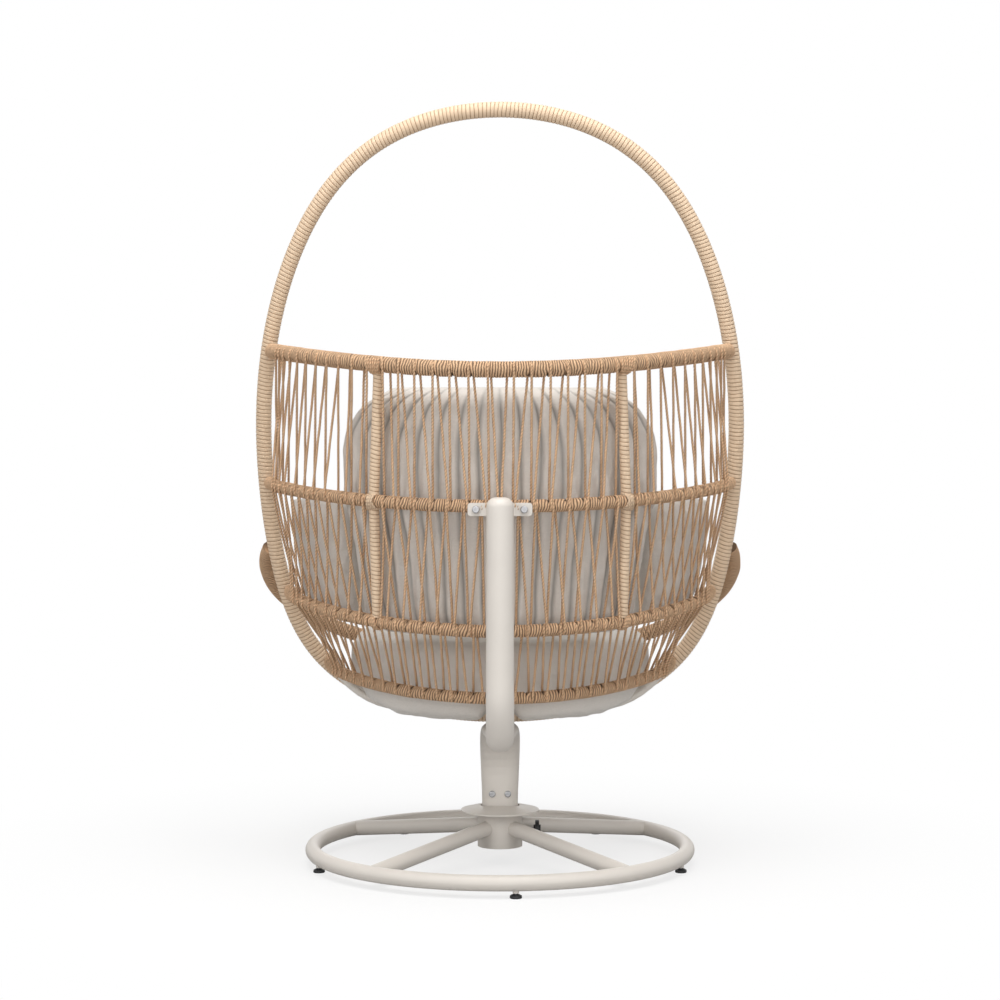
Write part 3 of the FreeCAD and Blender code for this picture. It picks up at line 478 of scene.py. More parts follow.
def wander(tree, seed, scale, amount):
    """Slow noise over the surface, round zero."""
    place = add_node(tree, "GeometryNodeInputPosition")
    inputs = {"Vector": place, "Scale": scale, "Detail": 1.0, "W": seed}
    return (add_node(tree, "ShaderNodeTexNoise", inputs, "Fac", noise_dimensions="4D") - 0.5) * amount


def turn_count(tree, given):
    """Turns of a winding from its start, counted along the tube and round it."""
    return stored(tree, "along") / given["Pitch"] + stored(tree, "around")


def cord_tree():
    """A twisted cord of two plies along every spline of a curve."""
    tree, given, result = new_group(
        "Twisted Cord", "GeometryNodeTree", "Geometry",
        {"Radius": 0.0025, "Step": 0.002, "Lay": 0.013, "Lobe": 0.16},
    )
    curve, profile, length, turn = swept_profile(tree, given, sides=10)
    twist = length / given["Lay"] * (2 * math.pi)
    curve = add_node(tree, "GeometryNodeSetCurveTilt", {"Curve": curve, "Tilt": twist})
    swell = math_node("COSINE", turn * (4 * math.pi)) * given["Lobe"] + 0.92
    place = scaled(add_node(tree, "GeometryNodeInputPosition"), swell)
    profile = add_node(tree, "GeometryNodeSetPosition", {"Geometry": profile, "Position": place})
    sweep(given, result, curve, profile, stored(tree, "around") * 2.0)
    return tree


def strip_winding_tree():
    """A tube wound with flat strip: each turn is a low step with a groove beside it."""
    tree, given, result = new_group(
        "Flat Strip Winding", "GeometryNodeTree", "Geometry",
        {"Radius": 0.016, "Step": 0.0009, "Pitch": 0.008, "Groove": 0.0009, "Seed": 0.0},
    )
    curve, profile, _, _ = swept_profile(tree, given, sides=16)
    turns = turn_count(tree, given) + wander(tree, given["Seed"], scale=22.0, amount=0.9)
    share = math_node("FRACT", turns)
    height = (share - 0.5) * 0.35 - groove_mask(share, 90.0)
    sweep(given, result, curve, profile, turns, height * given["Groove"])
    return tree


def cord_winding_tree():
    """A tube wound with round cord, whose turns bunch up, and lean and part where a rope leaves them."""
    tree, given, result = new_group(
        "Cord Winding", "GeometryNodeTree", "Geometry",
        {"Radius": 0.012, "Step": 0.0006, "Pitch": 0.0056, "Depth": 0.0021, "Side": 1.0, "Seed": 0.0},
    )
    curve, profile, _, _ = swept_profile(tree, given, sides=20)
    curve = store(curve, "phase", add_node(tree, "GeometryNodeInputRadius"))
    curve = add_node(tree, "GeometryNodeSetCurveRadius", {"Curve": curve, "Radius": 1.0})
    normal = add_node(tree, "GeometryNodeInputNormal")
    facing = add_node(tree, "ShaderNodeSeparateXYZ", {"Vector": normal}, "Z") * given["Side"]
    gap = math_node("FRACT", stored(tree, "phase"))
    turns = turn_count(tree, given) + wander(tree, given["Seed"], scale=45.0, amount=2.2)
    turns = turns + gap ** 3.0 * facing * 1.3
    centred = math_node("FRACT", turns) * 2.0 - 1.0
    bulge = math_node("SQRT", 1.001 - abs(centred) ** 2.4)
    notch = map_range(abs(gap - 0.80), (0.10, 0.0), interpolation="SMOOTHSTEP")
    # where a rope leaves, the turns are dented, and the cord material paints this hollow nearly black as
    # painted shade
    hollow_and_shade = notch * map_range(facing, (0.35, 0.75), interpolation="SMOOTHSTEP")
    lumps = wander(tree, given["Pitch"], scale=28.0, amount=0.9)
    height = bulge + lumps - 1.25 - hollow_and_shade * 1.1
    sweep(given, result, curve, profile, turns, height * given["Depth"], hollow_and_shade)
    return tree


# Objects


def add_object(name, data):
    """A new object, linked to the scene."""
    obj = bpy.data.objects.new(name, data)
    bpy.context.scene.collection.objects.link(obj)
    return obj


def evaluated_mesh(obj):
    """A plain mesh of an object as its modifiers leave it."""
    return bpy.data.meshes.new_from_object(obj.evaluated_get(bpy.context.evaluated_depsgraph_get()))


def curve_object(name, lines, closed, phases):
    """A curve object with one spline of straight segments for each line; phases go in as point radii."""
    data = bpy.data.curves.new(name, "CURVE")
    data.dimensions = "3D"
    for points in lines:
        spline = data.splines.new("POLY")
        spline.points.add(len(points) - 1)
        spline.points.foreach_set("co", [c for p in points for c in (*p, 1.0)])
        if phases:
            spline.points.foreach_set("radius", phases)
        spline.use_cyclic_u = closed
    return add_object(name, data)


def grown(name, lines, tree, values, material, nodes, closed=False, phases=None):
    """Runs a tree on the lines, keeps the result as a plain mesh and lets it ride the seat."""
    line = curve_object(name + "_line", lines, closed, phases)
    modifier = line.modifiers.new("grow", "NODES")
    modifier.node_group = tree
    set_inputs(modifier, dict(values, Material=material))
    piece = add_object(name, evaluated_mesh(line))
    bpy.data.objects.remove(line)
    if not piece.data.materials:
        piece.data.materials.append(material)
    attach(piece, "seat")
    if nodes:
        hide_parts(*nodes)


# Shader groups and materials


def mix_color(factor, a, b):
    return add_node(factor.tree, "ShaderNodeMix", {0: factor, 6: a, 7: b}, 2, data_type="RGBA")


def noise_node(tree, scale, detail, stretch=(1, 1, 1)):
    """Noise in object coordinates, stretched by three factors."""
    place = add_node(tree, "ShaderNodeTexCoord", output="Object")
    place = add_node(tree, "ShaderNodeMapping", {"Vector": place, "Scale": stretch})
    return add_node(tree, "ShaderNodeTexNoise", {"Vector": place, "Scale": scale, "Detail": detail}, "Fac")


def shade_variation_group():
    """Slow colour change for any finish."""
    tree, given, result = new_group(
        "Shade Variation", "ShaderNodeTree", "Color",
        {"Dark": 0.7, "Patch Scale": 20.0, "Amount": 0.4},
    )
    patches = map_range(noise_node(tree, given["Patch Scale"], 4.0), (0.35, 0.65))
    color = given["Color"]
    plug(mix_color(patches * given["Amount"], color, scaled(color, given["Dark"])), result)
    return tree


def principled(name, roughness, specular, others=None):
    """A new material, its tree and its shader."""
    material = bpy.data.materials.new(name)
    material.use_nodes = True
    shader = material.node_tree.nodes["Principled BSDF"]
    values = {"Roughness": roughness, "Specular IOR Level": specular, **(others or {})}
    for title, value in values.items():
        shader.inputs[title].default_value = value
    return material, material.node_tree, shader


def varied(tree, shade, color, dark, scale, amount):
    """A colour with the slow change of the shade group."""
    inputs = {"Color": color, "Dark": dark, "Patch Scale": scale, "Amount": amount}
    return add_node(tree, "ShaderNodeGroup", inputs, node_tree=shade)


def finish(shader, color, height, strength, distance):
    """Gives a shader its colour and its bump."""
    plug(color, shader.inputs["Base Color"])
    inputs = {"Strength": strength, "Distance": distance, "Height": height}
    plug(add_node(color.tree, "ShaderNodeBump", inputs), shader.inputs["Normal"])


def toned(color, factor):
    """A lighter or darker colour."""
    return tuple(min(1, c * factor) for c in color)


def mesh_attribute(tree, name):
    return add_node(tree, "ShaderNodeAttribute", output="Fac", attribute_name=name)


def turn_share(tree):
    """The share of a turn, from the sine and cosine that the node trees keep."""
    angle = math_node("ARCTAN2", mesh_attribute(tree, "turn_sin"), mesh_attribute(tree, "turn_cos"))
    return math_node("FRACT", angle / (2 * math.pi) + 1.0)


def cord_material(name, color, sharpness, groove_shade_strength, shade):
    """Twisted paper-like cord: painted shade between plies or turns and nearly black painted shade where turns
    part for a rope, with fine fibres and uneven tone.
    """
    material, tree, shader = principled(name, roughness=0.72, specular=0.25)
    groove_and_shade = groove_mask(turn_share(tree), sharpness)
    fibres = noise_node(tree, 700.0, 2.0)
    strands = map_range(noise_node(tree, 190.0, 2.0), (0.38, 0.62))
    mixed = varied(tree, shade, color, dark=0.65, scale=55.0, amount=0.5)
    mixed = mix_color(strands * 0.75, mixed, toned(color, 1.16))
    mixed = mix_color(fibres * 0.5, mixed, toned(color, 0.38))
    # painted shade in the grooves between plies or turns
    mixed = mix_color(groove_and_shade * groove_shade_strength, mixed, toned(color, 0.16))
    # nearly black painted shade where turns part for a rope
    mixed = mix_color(mesh_attribute(tree, "hollow_and_shade"), mixed, toned(color, 0.04))
    finish(shader, mixed, fibres * 0.6 - groove_and_shade, strength=0.6, distance=0.0007)
    return material


def rattan_material(name, color, shade):
    """Flat strip: uneven tone, lines along the strip and painted brown shade in the groove between turns."""
    material, tree, shader = principled(name, roughness=0.5, specular=0.35)
    share = turn_share(tree)
    groove_and_shade = groove_mask(share, 130.0)
    lines = math_node("SINE", share * 44.0)
    mixed = varied(tree, shade, color, dark=0.86, scale=70.0, amount=0.6)
    mixed = mix_color(noise_node(tree, 120.0, 1.0) * 0.7, mixed, toned(color, 1.2))
    mixed = mix_color((lines + 1.0) * 0.07, mixed, toned(color, 0.6))
    groove_shade_brown = (color[0] * 0.36, color[1] * 0.24, color[2] * 0.15)
    # painted shade, in brown, in the groove between turns
    mixed = mix_color(groove_and_shade * 0.92, mixed, groove_shade_brown)
    finish(shader, mixed, lines * 0.12 - groove_and_shade, strength=0.5, distance=0.0006)
    return material


def linen_material(name, color, shade):
    """Plain weave with slubs: fine crossing threads, soft sheen and painted shade along the sewn seams."""
    sheen = {"Sheen Weight": 0.25, "Sheen Roughness": 0.5}
    material, tree, shader = principled(name, roughness=0.92, specular=0.15, others=sheen)
    across = noise_node(tree, 60.0, 3.0, (2.0, 2.0, 24.0))
    down = noise_node(tree, 60.0, 3.0, (24.0, 24.0, 2.0))
    slub = (across + down) * 0.5
    mixed = varied(tree, shade, color, dark=0.86, scale=14.0, amount=0.4)
    mixed = mix_color(map_range(slub, (0.4, 0.62)) * 0.45, mixed, toned(color, 0.72))
    # painted shade in the creases along the sewn seams
    mixed = mix_color(mesh_attribute(tree, "seam"), mixed, toned(color, 0.48))
    finish(shader, mixed, slub, strength=0.5, distance=0.0008)
    return material


def paint_material(name, color, shade):
    """Powder coat: satin with a very fine texture."""
    material, tree, shader = principled(name, roughness=0.42, specular=0.45)
    mixed = varied(tree, shade, color, dark=0.93, scale=9.0, amount=0.5)
    finish(shader, mixed, noise_node(tree, 1400.0, 2.0), strength=0.12, distance=0.0003)
    return material


def plain_material(name, color, roughness, metallic, shade):
    """Plastic or bare metal with a fine grain."""
    material, tree, shader = principled(name, roughness, 0.4, {"Metallic": metallic})
    mixed = varied(tree, shade, color, dark=0.75, scale=40.0, amount=0.5)
    finish(shader, mixed, noise_node(tree, 500.0, 2.0), strength=0.15, distance=0.0004)
    return material


LOOKS = {}


def looks():
    """Materials and node trees, built once from the scene's settings."""
    if LOOKS:
        return LOOKS
    scene = bpy.context.scene
    weave, stand, cloth = scene.egg_chair_weave, scene.egg_chair_stand, scene.egg_chair_cushions
    shade = shade_variation_group()
    LOOKS["cord"] = cord_material("Twisted cord", weave.cord_color, 24.0, 0.6, shade)
    LOOKS["wrap"] = cord_material("Wound cord", weave.cord_color, 15.0, 0.98, shade)
    LOOKS["rattan"] = rattan_material("Flat rattan", weave.rattan_color, shade)
    LOOKS["linen"] = linen_material("Linen", cloth.linen_color, shade)
    LOOKS["paint"] = paint_material("Powder coat", stand.paint_color, shade)
    LOOKS["black"] = plain_material("Black plastic", (0.02, 0.02, 0.022), 0.45, 0.0, shade)
    LOOKS["steel"] = plain_material("Zinc-plated steel", (0.44, 0.44, 0.45), 0.42, 1.0, shade)
    LOOKS["nylon"] = plain_material("Bearing nylon", (0.70, 0.69, 0.65), 0.5, 0.0, shade)
    LOOKS["cord_tree"] = cord_tree()
    LOOKS["strip_tree"] = strip_winding_tree()
    LOOKS["wrap_tree"] = cord_winding_tree()
    return LOOKS


# Winding and rope lines


def even_shares(make, start, end, step):
    """Values between start and end at which a line given by a formula has evenly spaced points."""
    rough = [make(start + (end - start) * i / LINE_SAMPLES) for i in range(LINE_SAMPLES + 1)]
    lengths = [0.0]
    for a, b in zip(rough, rough[1:]):
        lengths.append(lengths[-1] + (b - a).length)
    count = max(2, round(lengths[-1] / step))
    wanted = [lengths[-1] * i / count for i in range(count + 1)]
    places = np.interp(wanted, lengths, range(LINE_SAMPLES + 1))
    return [start + (end - start) * float(k) / LINE_SAMPLES for k in places]


def even_points(make, start, end, step):
    return [make(t) for t in even_shares(make, start, end, step)]


def straight(start, end):
    """Evenly spaced points from one place to another."""
    return even_points(lambda share: start.lerp(end, share), 0, 1, LINE_STEP)


def round_rail(p, out, radius, a):
    """A point round a rail, at an angle counted upwards from its outer side."""
    return p + out * (radius * math.cos(a)) + UP * (radius * math.sin(a))


def rope_end(name, t, layer, leaving):
    """Where a rope meets a rail: it comes out of the winding, passes its face and goes on straight."""
    p, out = rail_point(name, t), rail_outward(name, t) * layer
    radius = RAILS[name]["d"] / 2
    return [round_rail(p, out, radius + lift, math.radians(degrees) * leaving) for degrees, lift in ROPE_EXIT]


def knot_strand(name, side, below, above, lift, reach):
    """A strand round the outer side of a rail where a rib crosses it, from under the rail up to an angle."""
    t = rib_angle(name) * side
    p, out = rail_point(name, t), rail_outward(name, t)
    along = out.cross(UP) * side
    points = []
    for step in range(KNOT_STEPS + 1):
        share = step / KNOT_STEPS
        radius = RAILS[name]["d"] / 2 + lift * (1 - KNOT_TAPER * share ** 3)
        a = math.radians(-KNOT_START + (KNOT_START + reach) * share)
        points.append(round_rail(p + along * (below + (above - below) * share), out, radius, a))
    return points


def knot_lines(name, strands, below, above, lift, reach):
    """Both ribs' knots on a rail: strands spread over a width under the rail and over another above it."""
    lines = []
    for side in (-1, 1):
        for k in range(strands):
            share = k / (strands - 1)
            ends = [low + (high - low) * share for low, high in (below, above)]
            lines.append(knot_strand(name, side, *ends, lift + KNOT_STAGGER * (k % 2), reach))
    return lines


def clear_of_rib(name, t, beyond):
    """Moves a rope that would run into a rib to its nearer side."""
    if name not in RIB_X:
        return t
    x = RAIL_ENDS[name].x * math.sin(t)
    if abs(x - RIB_X[name]) > RIB_CLEAR:
        return t
    return math.asin((RIB_X[name] + (RIB_CLEAR if beyond else -RIB_CLEAR)) / RAIL_ENDS[name].x)


def seen_at(name, t, layer):
    """The rail's angle at which a rope on its outer or inner side lies at the x of the rail's own angle t."""
    offset = RAILS[name]["d"] / 2 + ROPE_EXIT[-1][1]
    shift = layer * offset * rail_outward(name, t).x / (RAIL_ENDS[name].x * max(math.cos(t), LEAST_COSINE))
    return min(t - shift, math.radians(HIGHEST_ANGLE))


def rope_line(upper, lower, t_top, t_low, layer, bow, side, rng):
    """One rope, from one side of the upper rail to the other side of the lower rail."""
    t_top = seen_at(upper, t_top, layer)
    t_low = seen_at(lower, t_low, -layer)
    beyond = RAIL_ENDS[upper].x * math.sin(t_top) > RIB_X.get(upper, 1)
    t_top = clear_of_rib(upper, t_top, beyond)
    t_low = clear_of_rib(lower, t_low, beyond)
    top = rope_end(upper, t_top, layer, 1)
    low = rope_end(lower, t_low, -layer, -1)[::-1]
    out = rail_outward(upper, (t_top + t_low) / 2)
    middle = []
    for k in range(1, ROPE_POINTS):
        share = k / ROPE_POINTS
        p = top[-1].lerp(low[0], share) + out * (bow * (4 * share * (1 - share)))
        p += Vector((rng.uniform(-1, 1), rng.uniform(-1, 1), 0)) * ROPE_WANDER
        middle.append(p)
    return [on_side(p, side) for p in top + middle + low]


def upper_return(j):
    """Shifts, in shares of a step, of the ropes that come forward between the two highest rails."""
    if j < 7:
        return -0.27, -0.90
    if j < 9:
        return 0.10, 0.35
    return 0.0, 1.0 if j < 13 else 1.5


def band_lines(name, upper, lower, layer, count, first, step, slope, shift):
    """The ropes of one band, on both sides of the chair."""
    rng = random.Random(name)
    lines = []
    for side in (-1, 1):
        for j in range(count):
            top = first + step * j + rng.uniform(-ANGLE_WANDER, ANGLE_WANDER)
            low = slope * top + shift
            if name == "ropes_upper_inner":
                ahead, after = upper_return(j)
                low = max(top + after * step, LOWEST_ANGLE)
                top += ahead * step
            low += rng.uniform(-ANGLE_WANDER, ANGLE_WANDER)
            top = min(top, HIGHEST_ANGLE - HIGHEST_SPREAD)
            low = min(low, HIGHEST_ANGLE - HIGHEST_SPREAD)
            bow = ROPE_BOW * layer * (1 if top > BOW_TURN else -1) if upper == "rail_2" else 0.0
            angles = math.radians(top), math.radians(low)
            lines.append(rope_line(upper, lower, *angles, layer, bow, side, rng))
    return lines


# Pieces


class EGG_OT_hoop(bpy.types.Operator):
    """Flat rattan strip wound round the hoop and the ribs"""

    bl_idname = "egg_chair.hoop"
    bl_label = "Hoop and ribs"

    def execute(self, context):
        kit = looks()
        strip_pitch = context.scene.egg_chair_weave.strip_pitch
        right = even_points(lambda t: hoop_point(t, 1), 0, math.pi, LINE_STEP)
        left = even_points(lambda t: hoop_point(t, -1), math.pi, 0, LINE_STEP)
        ring = right[:-1] + left[:-1]
        total = sum((b - a).length for a, b in zip(ring, ring[1:] + ring[:1]))
        pitch = total / round(total / strip_pitch)
        values = {
            "Radius": HOOP_D / 2 - HOOP_SINK, "Pitch": pitch, "Step": pitch / STEPS_PER_TURN,
            "Groove": HOOP_GROOVE, "Seed": 1.0,
        }
        grown("hoop_winding", [ring], kit["strip_tree"], values, kit["rattan"], ["hoop"], True)
        values = {
            "Radius": RIB_D / 2 + RIB_OVER, "Pitch": strip_pitch, "Step": 0.0008,
            "Groove": RIB_GROOVE, "Seed": 2.0,
        }
        lines = self.rib_lines()
        grown("rib_winding", lines, kit["strip_tree"], values, kit["rattan"], ["ribs"])
        return {"FINISHED"}

    @staticmethod
    def rib_lines():
        """Straight lines from rail to rail, which start and end inside the rails' winding."""
        lines = []
        for side in (-1, 1):
            for upper, lower in (("rail_1", "rail_2"), ("rail_2", "rail_3")):
                top, low = (on_side(rail_point(rail, rib_angle(rail)), side) for rail in (upper, lower))
                axis = (low - top).normalized()
                top += axis * (RAILS[upper]["d"] / 2 - RIB_TUCK)
                low -= axis * (RAILS[lower]["d"] / 2 - RIB_TUCK)
                lines.append(straight(top, low))
        return lines


class EGG_OT_rails(bpy.types.Operator):
    """Cord wound round the four rails and the front rail"""

    bl_idname = "egg_chair.rails"
    bl_label = "Wound rails"

    def execute(self, context):
        kit = looks()
        pitch = context.scene.egg_chair_weave.turn_pitch
        reach = math.pi / 2 - math.radians(RAIL_TRIM)
        for seed, (name, rail) in enumerate(RAILS.items()):
            first, step, side = MARKS[name]
            angles = even_shares(lambda t, n=name: rail_point(n, t), -reach, reach, RAIL_STEP)
            phases = [max(abs(math.degrees(t)) - first, 0) / step + 1 for t in angles]
            points = [rail_point(name, t) for t in angles]
            self.wind(kit, name, points, rail["d"] / 2, pitch, seed, side, phases)
        points = even_points(self.whole_front, -FRONT_REACH, FRONT_REACH, RAIL_STEP)
        phases = [NO_ROPE_PHASE] * len(points)
        self.wind(kit, "front_rail", points, FRONT_D / 2, pitch, 7, 0.0, phases)
        return {"FINISHED"}

    @staticmethod
    def whole_front(t):
        """The front rail from one end on the hoop to the other, for t from -1 to 1."""
        return on_side(front_point(abs(t)), math.copysign(1, t))

    @staticmethod
    def wind(kit, name, points, radius, pitch, seed, side, phases):
        values = {
            "Radius": radius + RAIL_OVER, "Pitch": pitch, "Step": pitch / STEPS_PER_TURN,
            "Depth": RAIL_GROOVE, "Side": side, "Seed": float(seed),
        }
        piece = name + "_winding"
        grown(piece, [points], kit["wrap_tree"], values, kit["wrap"], [name], phases=phases)


class EGG_OT_ropes(bpy.types.Operator):
    """Twisted ropes between the rails, across the front and in the ribs' knots"""

    bl_idname = "egg_chair.ropes"
    bl_label = "Ropes"

    def execute(self, context):
        kit = looks()
        tree, cord = kit["cord_tree"], kit["cord"]
        weave = context.scene.egg_chair_weave
        width = weave.cord_width
        values = {"Radius": width * 0.5, "Step": 0.0022, "Lay": weave.cord_lay, "Lobe": 0.13}
        for band in BANDS:
            grown(band[0] + "_twisted", band_lines(*band), tree, values, cord, [band[0]])
        lines = []
        for j in range(1, NET_PAIRS + 1):
            rail, foot = net_ends(j * NET_PITCH)
            lines += [straight(on_side(rail, side), on_side(foot, side)) for side in (-1, 1)]
        grown("ropes_front_twisted", lines, tree, values, cord, ["ropes_front"])
        lines = [line for knot in CORD_KNOTS for line in knot_lines(*knot)]
        grown("rib_knots_cord", lines, tree, values, cord, [])
        lines = [line for knot in CANE_KNOTS for line in knot_lines(*knot)]
        values = dict(values, Radius=width * 0.45, Lobe=0.04)
        grown("rib_knots_cane", lines, tree, values, kit["rattan"], [])
        return {"FINISHED"}


def basket_inner(z, t, depth):
    """A point inside the basket, at a depth from the inner ropes, and the direction outwards there."""
    names = list(RAILS)
    for upper, lower in zip(names, names[1:]):
        a = rail_point(upper, t)
        b = rail_point(lower, t)
        if z >= b.z or lower == names[-1]:
            p = b.lerp(a, (z - b.z) / (a.z - b.z))
            out = rail_outward(upper, t)
            inset = RAILS[lower]["d"] / 2 + ROPE_ROOM + 2 * SEAM_GAP + depth
            return Vector((p.x, p.y, z)) - out * inset, out


def ring_mesh(name, rings):
    """A closed mesh from rings of points. Each ring runs along one face and back along the other."""
    mesh = bpy.data.meshes.new(name)
    count = len(rings[0])
    points = [p for ring in rings for p in ring]
    faces = []
    for k in range(len(rings) - 1):
        for i in range(count):
            j = (i + 1) % count
            faces.append((k * count + i, k * count + j, (k + 1) * count + j, (k + 1) * count + i))
    top = (len(rings) - 1) * count
    for i in range(count // 2 - 1):
        strip = (i, i + 1, count - 2 - i, count - 1 - i)
        faces.append(strip[::-1])
        faces.append(tuple(top + k for k in strip))
    mesh.from_pydata(points, [], faces)
    mesh.polygons.foreach_set("use_smooth", [True] * len(faces))
    work = bmesh.new()
    work.from_mesh(mesh)
    bmesh.ops.recalc_face_normals(work, faces=work.faces)
    work.to_mesh(mesh)
    work.free()
    return add_object(name, mesh)


def half_width(z):
    """Half width of the back cushion at a height, softened between the heights of its outline."""
    near = np.linspace(z - BACK_SOFTENING, z + BACK_SOFTENING, 9)
    return float(np.mean(np.interp(near, OUTLINE_Z, OUTLINE_HALF)))


class EGG_OT_back(bpy.types.Operator):
    """Back cushion with sewn vertical channels"""

    bl_idname = "egg_chair.back"
    bl_label = "Back cushion"

    def execute(self, context):
        cloth = context.scene.egg_chair_cushions
        count = cloth.channels * CHANNEL_COLUMNS
        rings = []
        seam_shades = []
        for k in range(BACK_ROWS + 1):
            s = k / BACK_ROWS
            end = min(s, 1 - s) * (BACK_TOP - BACK_BOTTOM)
            close = math.sqrt(max(0.0, 1 - (1 - min(end / BACK_ROUNDING, 1.0)) ** 2))
            rings.append(self.ring(s, close, cloth, count))
            for i in range(2 * count + 2):
                place = i if i <= count else 2 * count + 1 - i
                column = place % CHANNEL_COLUMNS
                away = min(column, CHANNEL_COLUMNS - column) / CHANNEL_COLUMNS
                # the seam mask is painted shade in the creases along each sewn seam, fading out at the top and
                # bottom ends
                seam_shades.append(max(0.0, 1 - away * 5.5) * close)
        piece = ring_mesh("back_cushion_quilted", rings)
        piece.data.attributes.new("seam", "FLOAT", "POINT").data.foreach_set("value", seam_shades)
        piece.data.materials.append(looks()["linen"])
        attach(piece, "seat")
        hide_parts("back_cushion")
        return {"FINISHED"}

    @staticmethod
    def ring(s, close, cloth, count):
        """One row of the cushion, at a share of its height: along the rear face and back along the front."""
        z = BACK_BOTTOM + (BACK_TOP - BACK_BOTTOM) * s
        reach = math.asin(half_width(z) / BACK_RADIUS) * BACK_WRAP
        half = BACK_THICKNESS / 2
        rear, front = [], []
        for i in range(count + 1):
            u = 1 - 2 * i / count
            seam, phase = i // CHANNEL_COLUMNS, (i % CHANNEL_COLUMNS) / CHANNEL_COLUMNS
            before, after = (noise.noise(Vector((k * 1.7, z * 9.0, 2.0))) for k in (seam, seam + 1))
            drift = SEAM_DRIFT * (before + (after - before) * phase)
            t = reach * (u + drift * (1 - u * u) / cloth.channels)
            middle, out = basket_inner(z, t, half)
            puff = math.sin(math.pi * phase) ** 0.55 if phase else 0.0
            edge = (1 - abs(u) ** 14) ** 0.5
            tuft = 0.72 + 0.5 * noise.noise(Vector((u * 9, z * 14, 0.3)))
            swell = cloth.channel_crown * puff * tuft
            fold = FOLD_HEIGHT * noise.noise(Vector((u * 24, z * 40, 7.0)))
            thick = half * (EDGE_THICKNESS + (1 - EDGE_THICKNESS) * edge)
            thick *= END_THICKNESS + (1 - END_THICKNESS) * close
            belly = BACK_BELLY * math.sin(math.pi * s)
            puffed = (swell + fold - cloth.channel_crown * 0.9) * close
            rear.append(middle + out * (thick + puffed))
            front.append(middle - out * (thick + belly * edge + puffed))
        return rear + front[::-1]


def coordinates(mesh):
    """The points of a mesh as rows of three numbers."""
    values = np.zeros(len(mesh.vertices) * 3)
    mesh.vertices.foreach_get("co", values)
    return values.reshape(-1, 3)


def remeshed_copy(node, name):
    """A CAD cushion as a new object, a little smaller and with even faces."""
    mesh = NODES[node].data.copy()
    mesh.materials.clear()
    obj = add_object(name, mesh)
    work = bmesh.new()
    work.from_mesh(mesh)
    bmesh.ops.remove_doubles(work, verts=work.verts, dist=WELD)
    work.normal_update()
    for v in work.verts:
        v.co -= v.normal * SHRINK
    work.to_mesh(mesh)
    work.free()
    bpy.context.view_layer.objects.active = obj
    remesh = obj.modifiers.new("remesh", "REMESH")
    remesh.mode = "VOXEL"
    remesh.voxel_size = VOXEL
    voxels = evaluated_mesh(obj)
    obj.modifiers.clear()
    obj.data = voxels
    return obj


def blow_up(obj):
    """Swells a cushion by cloth pressure, no point by more than the limit."""
    scene = bpy.context.scene
    cloth = obj.modifiers.new("cloth", "CLOTH")
    cloth.settings.use_pressure = True
    cloth.settings.uniform_pressure_force = PRESSURE
    cloth.settings.effector_weights.gravity = 0.0
    cloth.settings.tension_stiffness = 12
    cloth.settings.bending_stiffness = 0.6
    for step in range(1, CLOTH_FRAMES + 1):
        scene.frame_set(step)
    blown = evaluated_mesh(obj)
    obj.modifiers.clear()
    rest = coordinates(obj.data)
    shift = coordinates(blown) - rest
    length = np.linalg.norm(shift, axis=1, keepdims=True)
    shift *= np.minimum(1.0, SWELL / np.maximum(length, 1e-9))
    blown.vertices.foreach_set("co", (rest + shift).ravel())
    obj.data = blown
    scene.frame_set(1)


def crumple(mesh, seed):
    """Soft hand-made unevenness in the cloth."""
    normals = [v.normal.copy() for v in mesh.vertices]
    for v, normal in zip(mesh.vertices, normals):
        p = v.co
        wave = noise.noise(Vector((p.x * 14 + seed, p.y * 14, p.z * 20)))
        crease = noise.noise(Vector((p.x * 55, p.y * 55 + seed, p.z * 38)))
        v.co = p + normal * (WAVE_HEIGHT * wave + CREASE_HEIGHT * crease)


class EGG_OT_seat(bpy.types.Operator):
    """Seat cushion and side bolsters"""

    bl_idname = "egg_chair.seat"
    bl_label = "Seat and bolsters"

    def execute(self, context):
        for node, seed in (("seat_cushion", 1.0), ("left_bolster", 5.0), ("right_bolster", 9.0)):
            piece = remeshed_copy(node, node + "_sewn")
            blow_up(piece)
            crumple(piece.data, seed)
            smooth = piece.modifiers.new("smooth", "SUBSURF")
            smooth.levels = 1
            smooth.render_levels = 1
            piece.data.polygons.foreach_set("use_smooth", [True] * len(piece.data.polygons))
            piece.data.materials.append(looks()["linen"])
            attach(piece, "seat")
            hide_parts(node)
        return {"FINISHED"}


class EGG_OT_stand(bpy.types.Operator):
    """Powder coat, plastic and plated steel of the stand"""

    bl_idname = "egg_chair.stand"
    bl_label = "Stand finishes"

    def execute(self, context):
        kit = looks()
        slots = {row["node"]: row["material_slot"] for row in frame["record"]["subparts"]}
        for name, node in NODES.items():
            material = kit[LOOK_OF_SLOT[slots[name]]]
            if node.material_slots:
                for place in node.material_slots:
                    place.material = material
            else:
                node.data.materials.append(material)
        return {"FINISHED"}


